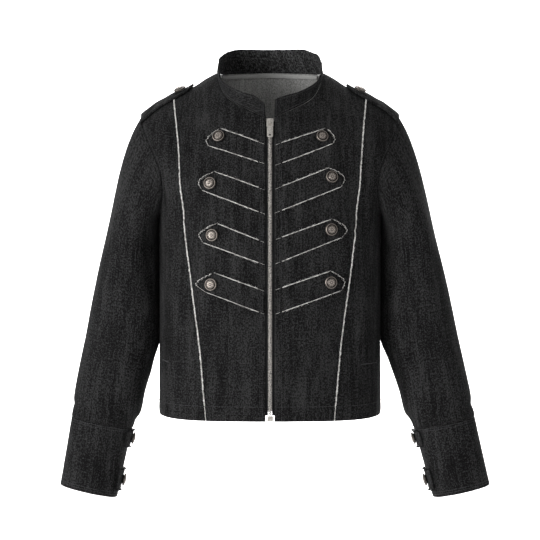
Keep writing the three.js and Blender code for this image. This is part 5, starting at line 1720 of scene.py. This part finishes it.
@dataclass
class FrontTabs:
    """The eight chevron tabs with their white raw edges and buttons."""
    finishes: Wardrobe
    bare_until: float = 17.0
    seat_gap: float = 0.5
    bulge: float = 2.0
    curl_pitch: float = 3.1

    def net(self, name: str, side: Side) -> Net:
        """Net of a tab."""
        inner_top, inner_bottom, corner, tip, heel, _ = TABS[name]
        end_x, end_z = Outline([heel, tip, corner])(close_steps(3, 6)[:, None] / 3)
        u = close_steps(7, 6)[None, :] / 7
        v = close_steps(3, 6)[:, None] / 3
        x, z = blend(TAB_INNER_X, end_x, u), blend(blend(inner_bottom, inner_top, v), end_z, u)
        points, normals = front_at(x, z, side)
        number = int(name[0])
        curl = 0.5 * wavy(x + z, 31, 71 + number) * smooth(14, 40, x) * (0.3 + np.abs(2 * v - 1))
        points = points + normals * np.maximum(curl + 0.2, 0)[..., None]
        return Net(points, normals, net_uv(points, False, 2500.0 + 160 * number + 700 * side.value))

    def fringe(self, net: Net, seed: int) -> tuple[MeshBuilder, MeshBuilder]:
        """White threads along a tab's raw edges, and black ones darker than the cloth inside its outer end, as painted
        shadow of the button.
        """
        rng = np.random.default_rng(SEED + seed)
        middle = net.moved(np.full(net.points.shape[:2], LIFT + CLOTH * 0.62))
        lines = ((middle[0], middle[3], net.normals[0]), (middle[:, -1], middle[:, -4], net.normals[:, -1]),
                 (middle[-1][::-1], middle[-4][::-1], net.normals[-1][::-1]))
        path = np.concatenate([line for line, _, _ in lines])
        inner = np.concatenate([line for _, line, _ in lines])
        facing = np.concatenate([line for _, _, line in lines])
        keep = np.concatenate([[True], np.linalg.norm(np.diff(path, axis=0), axis=1) > 1e-3])
        path, facing, out = path[keep], facing[keep], unit(path[keep] - inner[keep])
        builder, shade = MeshBuilder(), MeshBuilder()
        bare = np.abs(path[:, 0]) < self.bare_until
        spots = np.arange(len(path))
        first, last = len(lines[0][0]) - 1, int(keep.sum()) - len(lines[2][0])
        for part in (~bare & (spots <= first), ~bare & (spots >= last)):
            add_strands(builder, path[part], out[part], facing[part], rng, (-0.3, 0.15, 0.6), 0.3, 0.2)
            add_fray(builder, path[part] - out[part] * 0.4, out[part], facing[part], rng, 3.4, (0.8, 1.9),
                     0.17)
            add_fray(builder, path[part], out[part], facing[part], rng, 0.35, (2.0, 3.6), 0.15, 1.0, 0.6)
        part = (spots >= first) & (spots <= last)
        self.curls(builder, path[part], out[part], facing[part], rng)
        # Black threads over and round the outer end, darker than the denim: painted shadow where the raised button
        # shades the tab.
        raised = path[part] + facing[part] * (CLOTH * 0.38 + 0.15)
        add_fray(shade, raised - out[part] * 0.5, -out[part], facing[part], rng, 5.0, (1.6, 3.4), 0.22,
                 0.8, 0.12)
        add_fray(shade, path[part], out[part], facing[part], rng, 5.0, (1.0, 2.6), 0.22, 0.6, 0.1)
        for part in (bare & (spots < len(path) // 2), bare & (spots >= len(path) // 2)):
            if part.sum() > 3:
                add_strands(builder, path[part], out[part], facing[part], rng, (0.15,), 0.18, 0.12)
                add_fray(builder, path[part] - out[part] * 0.3, out[part], facing[part], rng, 1.0,
                         (0.6, 1.1), 0.14)
        return builder, shade

    def curls(self, builder: MeshBuilder, path: Array, out: Array, facing: Array,
              rng: np.random.Generator) -> None:
        """Broken, curled threads round a tab's outer end.

        Args:
            builder: Where they go.
            path: The end's edge.
            out: Directions off the cloth along it.
            facing: The cloth's normals along it.
            rng: Random numbers.
        """
        along = run_length(path)
        starts = np.arange(0, along[-1] - self.curl_pitch, self.curl_pitch)
        starts = starts + rng.uniform(-0.5, 0.5, int(np.ceil(along[-1] / self.curl_pitch)) - 1)
        for layer, thick in ((0.0, 0.46), (1.4, 0.2)):
            length, bow = rng.uniform(1.3, 2.1, len(starts)), rng.uniform(0.2, 1.3, len(starts))
            turn = np.linspace(0, 1, 6)
            where = starts[:, None] + layer + turn * length[:, None]
            read = lambda values: np.stack([np.interp(where, along, values[:, k]) for k in range(3)], axis=-1)
            off = rng.uniform(-0.8, 0.6, (len(starts), 1)) + bow[:, None] * np.sin(turn * math.pi)
            off = off + self.bulge * np.sin(math.pi * np.clip(where / along[-1], 0, 1) ** 1.4)
            spines = read(path) + read(out) * off[..., None] + read(facing) * (0.3 + 0.5 * off[..., None] / 2)
            thickness = thick * rng.uniform(0.75, 1.1, (len(starts), 1)) * np.array([0.5, 1, 1, 1, 1, 0.5])
            made, faces = tube(spines, thickness, 5)
            builder.add(made, faces, np.repeat(spines.reshape(-1, 3)[:, ::2], 5, axis=0))
        add_fray(builder, path - out * 0.2, out, facing, rng, 1.1, (0.7, 1.7), 0.16, 0.8, 0.5)

    def build(self) -> None:
        """Builds the tabs."""
        stitches = MeshBuilder()
        for seed, name in enumerate(TABS):
            side = Side.LEFT if name.endswith("left") else Side.RIGHT
            net = self.net(name, side)
            white, black = self.fringe(net, seed)
            loose = [loose_piece(f"fray_tab_{name}", white, self.finishes.fray),
                     loose_piece(f"inner_fray_tab_{name}", black, self.finishes.black_fray)]
            cloth_piece(f"tab_{name}", net, net.shell(LIFT + CLOTH, LIFT, 0.7),
                        [self.finishes.tab, self.finishes.tab])
            for distance in (3.6, 6.8):
                points, normals = column_at(net, distance)
                add_stitches(stitches, points[3:-3] + normals[3:-3] * (LIFT + CLOTH), normals[3:-3])
            button_x, button_z = TABS[name][5]
            seat, normal = front_at(np.array(button_x), np.array(button_z), side)
            Button(self.finishes).build(f"tab_button_{name}", seat + normal * (LIFT + CLOTH + self.seat_gap),
                                        normal, 23.0 * seed)
        loose_piece("tab_stitches", stitches, self.finishes.thread)


@dataclass
class Epaulettes:
    """Shoulder straps, each held by a button near the neck."""
    finishes: Wardrobe
    neck_x: float = 121.0
    arm_x: float = 204.0
    half: float = 22.0
    neck_half: float = 17.0
    cloth: float = 2.6
    lift: float = 1.9
    tip: float = 9.0
    button_x: float = 142.0
    button_y: float = -9.0
    reach: float = 60.0
    seat_gap: float = 0.5

    def height(self, x: Array, y: Array) -> Array:
        """The body's height near the shoulder ridge, found by halving."""
        x, y = np.broadcast_arrays(x, y)
        found = np.zeros_like(x, dtype=float)
        for half, chosen in ((FRONT, y < ridge_y(x)), (BACK, y >= ridge_y(x))):
            high = half.ridge(x)
            low = high - self.reach
            for _ in range(34):
                z = (low + high) / 2
                beyond = half.sign * (half.point(*half.place(x, z))[..., 1] - y) > 0
                low, high = np.where(beyond, z, low), np.where(beyond, high, z)
            found = np.where(chosen, (low + high) / 2, found)
        return found

    def spot(self, x: Array, y: Array) -> tuple[Array, Array]:
        """Points and normals of the shoulder."""
        step = 0.5
        slope_x = (self.height(x + step, y) - self.height(x - step, y)) / (2 * step)
        slope_y = (self.height(x, y + step) - self.height(x, y - step)) / (2 * step)
        z = self.height(x, y)
        points = np.stack([*np.broadcast_arrays(x, y), z], axis=-1)
        return points, unit(np.stack([-slope_x, -slope_y, np.ones_like(z)], axis=-1))

    def build(self) -> None:
        """Builds both straps."""
        u = close_steps(8, 6)[None, :] / 8
        share = np.linspace(-1, 1, 25)[:, None]
        x = blend(self.neck_x, self.arm_x, u) + self.tip * share ** 2 * np.maximum(0, 1 - 8 * u)
        width = blend(self.neck_half, self.half, np.minimum(u * 4, 1))
        points, normals = self.spot(x, ridge_y(x) + share * width)
        points = points + normals * (0.5 * wavy(x + points[..., 1], 27, 81))[..., None]
        stitches = MeshBuilder()
        for side in Side:
            flip = side.flip
            net = Net(points * flip, normals * flip, net_uv(points, False, 4000.0 + 200 * side.value))
            name = f"epaulette_{side.label}"
            cloth_piece(name, net, net.shell(self.lift + self.cloth, self.lift),
                        [self.finishes.denim, self.finishes.denim])
            for line in (row_at(net, 3.2), row_at(net, -3.2), column_at(net, 3.2)):
                spots, facing = line[0][3:-3], line[1][3:-3]
                add_stitches(stitches, spots + facing * (self.lift + self.cloth), facing, radius=0.28)
            seat, normal = self.spot(np.array(self.button_x),
                                     ridge_y(self.button_x) + np.array(self.button_y))
            seat = seat + normal * (self.lift + self.cloth + self.seat_gap)
            Button(self.finishes).build(f"epaulette_button_{side.label}", seat * flip, normal * flip, 40.0)
        loose_piece("epaulette_stitches", stitches, self.finishes.thread)


@dataclass
class PrincessTrims:
    """Frayed white strips along the front princess seams."""
    finishes: Wardrobe
    half_width: float = 0.66
    cloth: float = 0.9

    def build(self) -> None:
        """Builds both strips."""
        rows = np.linspace(0, ROWS_BELOW + ROWS_ARMHOLE - 0.5, 420)
        places = princess_edge(0.0, rows)
        centre = FRONT.point(*places.T)
        along = run_length(centre)
        for side in Side:
            rng = np.random.default_rng(SEED + 50 + side.value)
            ragged = 0.75 + 0.45 * wavy(along, 19, 91 + side.value) + rng.normal(0, 0.16, len(along))
            ragged = np.clip(ragged, 0.25, 1.25) * np.where(along < HEM_DEPTH, 0.45, 1.0)
            across = self.half_width * ragged[:, None] * np.linspace(-1, 1, 5)[None, :]
            x = centre[:, 0:1] + across
            angle, _ = FRONT.place(x, np.minimum(centre[:, 2:3], FRONT.ridge(x)))
            points, normals = on_body(angle, np.broadcast_to(places[:, 1:2], angle.shape), FRONT, side)
            net = Net(points, normals, net_uv(points, False, 5000.0 + 60 * side.value))
            path, facing = points[:, 2] + normals[:, 2] * (LIFT + self.cloth * 0.7), normals[:, 2]
            out = unit(points[:, 4] - points[:, 0])
            full = along > HEM_DEPTH
            fray = MeshBuilder()
            add_strands(fray, path[full], out[full], facing[full], rng, (-0.5, -0.1, 0.3, 0.6), 0.23, 0.3)
            add_strands(fray, path[~full], out[~full], facing[~full], rng, (0.0, 0.4), 0.2, 0.2)
            for sign in (-1, 1):
                add_fray(fray, path[full] + out[full] * 0.3 * sign, out[full] * sign, facing[full], rng, 2.2,
                         (0.5, 1.6), 0.16, 0.9, 0.4)
                add_fray(fray, path[~full], out[~full] * sign, facing[~full], rng, 1.0, (0.5, 1.0), 0.14,
                         0.8, 0.3)
            name = f"princess_trim_{side.label}"
            loose = loose_piece(f"fray_{name}", fray, self.finishes.fray)
            cloth_piece(name, net, net.shell(LIFT + self.cloth, LIFT, 0.3),
                        [self.finishes.fray, self.finishes.fray])


@dataclass
class Zip:
    """The closed metal zip with its tapes, slider, pull and box."""
    finishes: Wardrobe
    bottom_z: float = -531.5
    top_z: float = -74.0
    tape_inner: float = 3.5
    tape_outer: float = 17.0
    tape_cloth: float = 0.8
    pitch: float = 2.5
    tooth_from: float = -1.0
    tooth_to: float = 3.1
    cord: float = 0.85
    hole: float = 1.45
    hole_reach: float = 6.0
    slot_z: float = -73.6

    def build(self) -> None:
        """Builds the zip."""
        self.teeth()
        self.tapes()
        for name, width, body in (("zip_slider", 1.0, Body.GARMENT), ("zip_pull", 0.5, Body.PULL),
                                  ("zip_box", 0.7, Body.GARMENT)):
            self.rounded(name, width, body)
        self.holes()

    def holes(self) -> None:
        """Puts dark discs in the pull's hole and in the slot by the slider's arch, as painted shadow."""
        pull, slider = (np.array([corner.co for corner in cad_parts[name].data.vertices]) / METRES
                        for name in ("zip_pull", "zip_slider"))
        facing = np.linalg.svd(pull - pull.mean(axis=0))[2][2]
        facing = facing * -np.sign(facing[1])
        low_end = pull[:, 2] < pull[:, 2].min() + self.hole_reach
        ring = pull[(np.abs(pull[:, 0]) < self.hole * 1.1) & low_end]
        level = np.abs(slider[:, 2] - self.slot_z) < self.hole * 3
        near = slider[level & (np.abs(slider[:, 0]) < self.hole * 2)]
        slot = np.array([0.0, near[:, 1].min(), self.slot_z])
        ahead = np.array([0.0, -1.0, 0.0])
        hole = ring.mean(axis=0) + facing * 0.52
        # Thin discs in the zip tape's dark finish, put in as painted shadow inside the hole and the slot.
        for name, centre, normal, body in (("pull_hole", hole, facing, Body.PULL),
                                           ("slider_slot", slot, ahead, Body.GARMENT)):
            spine = centre + normal * np.array([-0.12, -0.1, 0.1, 0.12])[:, None]
            points, faces = tube(spine[None], np.array([0.02, 1.0, 1.0, 0.02]) * self.hole, 24)
            builder = MeshBuilder()
            builder.add(points, faces)
            dress(builder.build(name, [self.finishes.zip_tape]), None, body)

    def teeth(self) -> None:
        """Builds the interleaved teeth; the cords that they grip are built with the tapes."""
        for side in Side:
            shift = self.pitch / 2 if side is Side.LEFT else 0.0
            z = np.arange(self.bottom_z + 1 + shift, self.top_z - 1, self.pitch)
            x = np.linspace(self.tooth_from, self.tooth_to, 7)
            seats, normals = FRONT.point(*FRONT.place(0.0, z)), FRONT.normal(*FRONT.place(3.0, z))
            spines = seats[:, None] + np.array([1.0, 0.0, 0.0]) * x[:, None] - normals[:, None] * 0.35
            spines = spines * side.flip
            points, faces = tube(spines, np.array([0.25, 0.8, 0.98, 0.9, 0.9, 0.98, 0.5]), 8)
            builder = MeshBuilder()
            builder.add(points, faces)
            dress(builder.build(f"teeth_{side.label}", [self.finishes.zip_metal]), f"zip_chain_{side.label}")

    def tapes(self) -> None:
        """Builds the woven tapes with their corded edges."""
        z = np.linspace(self.bottom_z, self.top_z, 121)[:, None]
        x = np.linspace(self.tape_inner, self.tape_outer, 10)[None, :]
        for side in Side:
            places = FRONT.place(x, z)
            points, normals = FRONT.point(*places) * side.flip, FRONT.normal(*places) * side.flip
            net = Net(points, normals, net_uv(points, False))
            depth = np.interp(z[:, 0], [HEM_Z + 38, HEM_Z + 42],
                              [-(HEM_CLOTH + LIFT), -(CLOTH + LIFT)])[:, None]
            sunk = Net(points + normals * depth[..., None], normals, net.uv)
            builder = sunk.shell(0, -self.tape_cloth, 0.3)
            edge = sunk.points[:, 0] + normals[:, 0] * 0.5 + np.array([0.6 * side.value, 0, 0])
            cord, faces = tube(edge[None], np.full(len(edge), self.cord), 8)
            builder.add(cord, faces)
            cloth_piece(f"zip_tape_{side.label}", net, builder,
                        [self.finishes.zip_tape, self.finishes.zip_tape])

    def rounded(self, name: str, width: float, body: Body) -> None:
        """Copies a node's solid with rounded edges.

        Args:
            name: The node.
            width: Width of the rounding.
            body: The body that it rides on.
        """
        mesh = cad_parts[name].data.copy()
        clean = bmesh.new()
        clean.from_mesh(mesh)
        bmesh.ops.remove_doubles(clean, verts=clean.verts, dist=1e-6)
        bmesh.ops.dissolve_limit(clean, angle_limit=math.radians(1), verts=clean.verts, edges=clean.edges)
        clean.to_mesh(mesh)
        clean.free()
        mesh.materials.clear()
        mesh.materials.append(self.finishes.pull_metal)
        made = bpy.data.objects.new(f"rounded_{name}", mesh)
        bpy.context.scene.collection.objects.link(made)
        bevel = made.modifiers.new("rounding", "BEVEL")
        bevel.width, bevel.segments, bevel.limit_method = width * METRES, 3, "ANGLE"
        bevel.angle_limit = math.radians(40)
        with bpy.context.temp_override(object=made, active_object=made, selected_objects=[made]):
            bpy.ops.object.modifier_apply(modifier=bevel.name)
        for polygon in made.data.polygons:
            polygon.use_smooth = True
        dress(made, name, body)


@dataclass
class Studio:
    """A pale floor that runs up behind the jacket, soft lights and the camera."""
    camera_y: float = -3.0
    camera_z: float = -0.307
    lens: float = 125.0
    sensor: float = 36.0
    floor_z: float = -0.80
    backdrop_y: float = 4.2
    bend: float = 0.9
    sky: float = 0.43
    floor_reach: float = 6.0

    def build(self) -> None:
        """Builds the studio."""
        bpy.context.scene.view_settings.view_transform = "Standard"
        self.floor()
        self.light("key", (-2.7, -2.4, 0.1), 1.3, 96.0)
        self.light("fill", (0.6, -3.4, 0.2), 2.0, 3.0)
        self.light("top", (-0.5, -0.3, 2.2), 1.8, 2.0)
        self.light("backdrop wash", (0.0, 2.3, 2.6), 3.0, 430.0, (0.0, 4.2, 0.6))
        world = bpy.data.worlds.new("studio")
        world.use_nodes = True
        world.node_tree.nodes["Background"].inputs["Color"].default_value = (1.0, 1.0, 1.0, 1.0)
        world.node_tree.nodes["Background"].inputs["Strength"].default_value = self.sky
        bpy.context.scene.world = world
        camera = bpy.data.cameras.new("camera")
        camera.lens, camera.sensor_width = self.lens, self.sensor
        seen = bpy.data.objects.new("camera", camera)
        seen.location = (0.0, self.camera_y, self.camera_z)
        seen.rotation_euler = (math.pi / 2, 0.0, 0.0)
        bpy.context.scene.collection.objects.link(seen)
        bpy.context.scene.camera = seen

    def floor(self) -> None:
        """Builds the floor and backdrop as one bent sheet."""
        turn = np.linspace(0, math.pi / 2, 24)
        bent = self.backdrop_y - self.bend + self.bend * np.sin(turn)
        y = np.concatenate([[-self.floor_reach], bent, [self.backdrop_y]])[:, None]
        z = np.concatenate([[self.floor_z], self.floor_z + self.bend * (1 - np.cos(turn)), [5.0]])[:, None]
        x = np.array([-self.floor_reach, self.floor_reach])
        net = np.stack(np.broadcast_arrays(x, y, z), axis=-1)
        builder = MeshBuilder()
        faces, _ = grid_faces(len(y), 2, False)
        builder.add(net.reshape(-1, 3) / METRES, faces)
        graph = Graph("pale paper")
        graph.set(Base_Color=(0.93, 0.93, 0.93, 1.0), Roughness=0.95, Specular_IOR_Level=0.1)
        builder.build("backdrop", [graph.material])

    def light(self, name: str, place: tuple[float, float, float], size: float, power: float,
              target: tuple[float, float, float] = (0.0, 0.0, -0.3)) -> None:
        """Adds a square soft light.

        Args:
            name: The light's name.
            place: Where it is.
            size: Its side.
            power: Its power in watts.
            target: What it faces.
        """
        lamp = bpy.data.lights.new(name, "AREA")
        lamp.shape, lamp.size, lamp.energy = "SQUARE", size, power
        made = bpy.data.objects.new(name, lamp)
        made.location = place
        made.rotation_euler = (Vector(target) - Vector(place)).to_track_quat("-Z", "Y").to_euler()
        bpy.context.scene.collection.objects.link(made)


def main() -> None:
    """Builds the jacket and the studio."""
    logging.basicConfig(level=logging.INFO)
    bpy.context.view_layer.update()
    finishes = Wardrobe()
    BodyPanels(finishes).build()
    Sleeves(finishes).build()
    Collar(finishes).build()
    FrontTabs(finishes).build()
    Epaulettes(finishes).build()
    PrincessTrims(finishes).build()
    Zip(finishes).build()
    Studio().build()


if __name__ == "__main__":
    main()
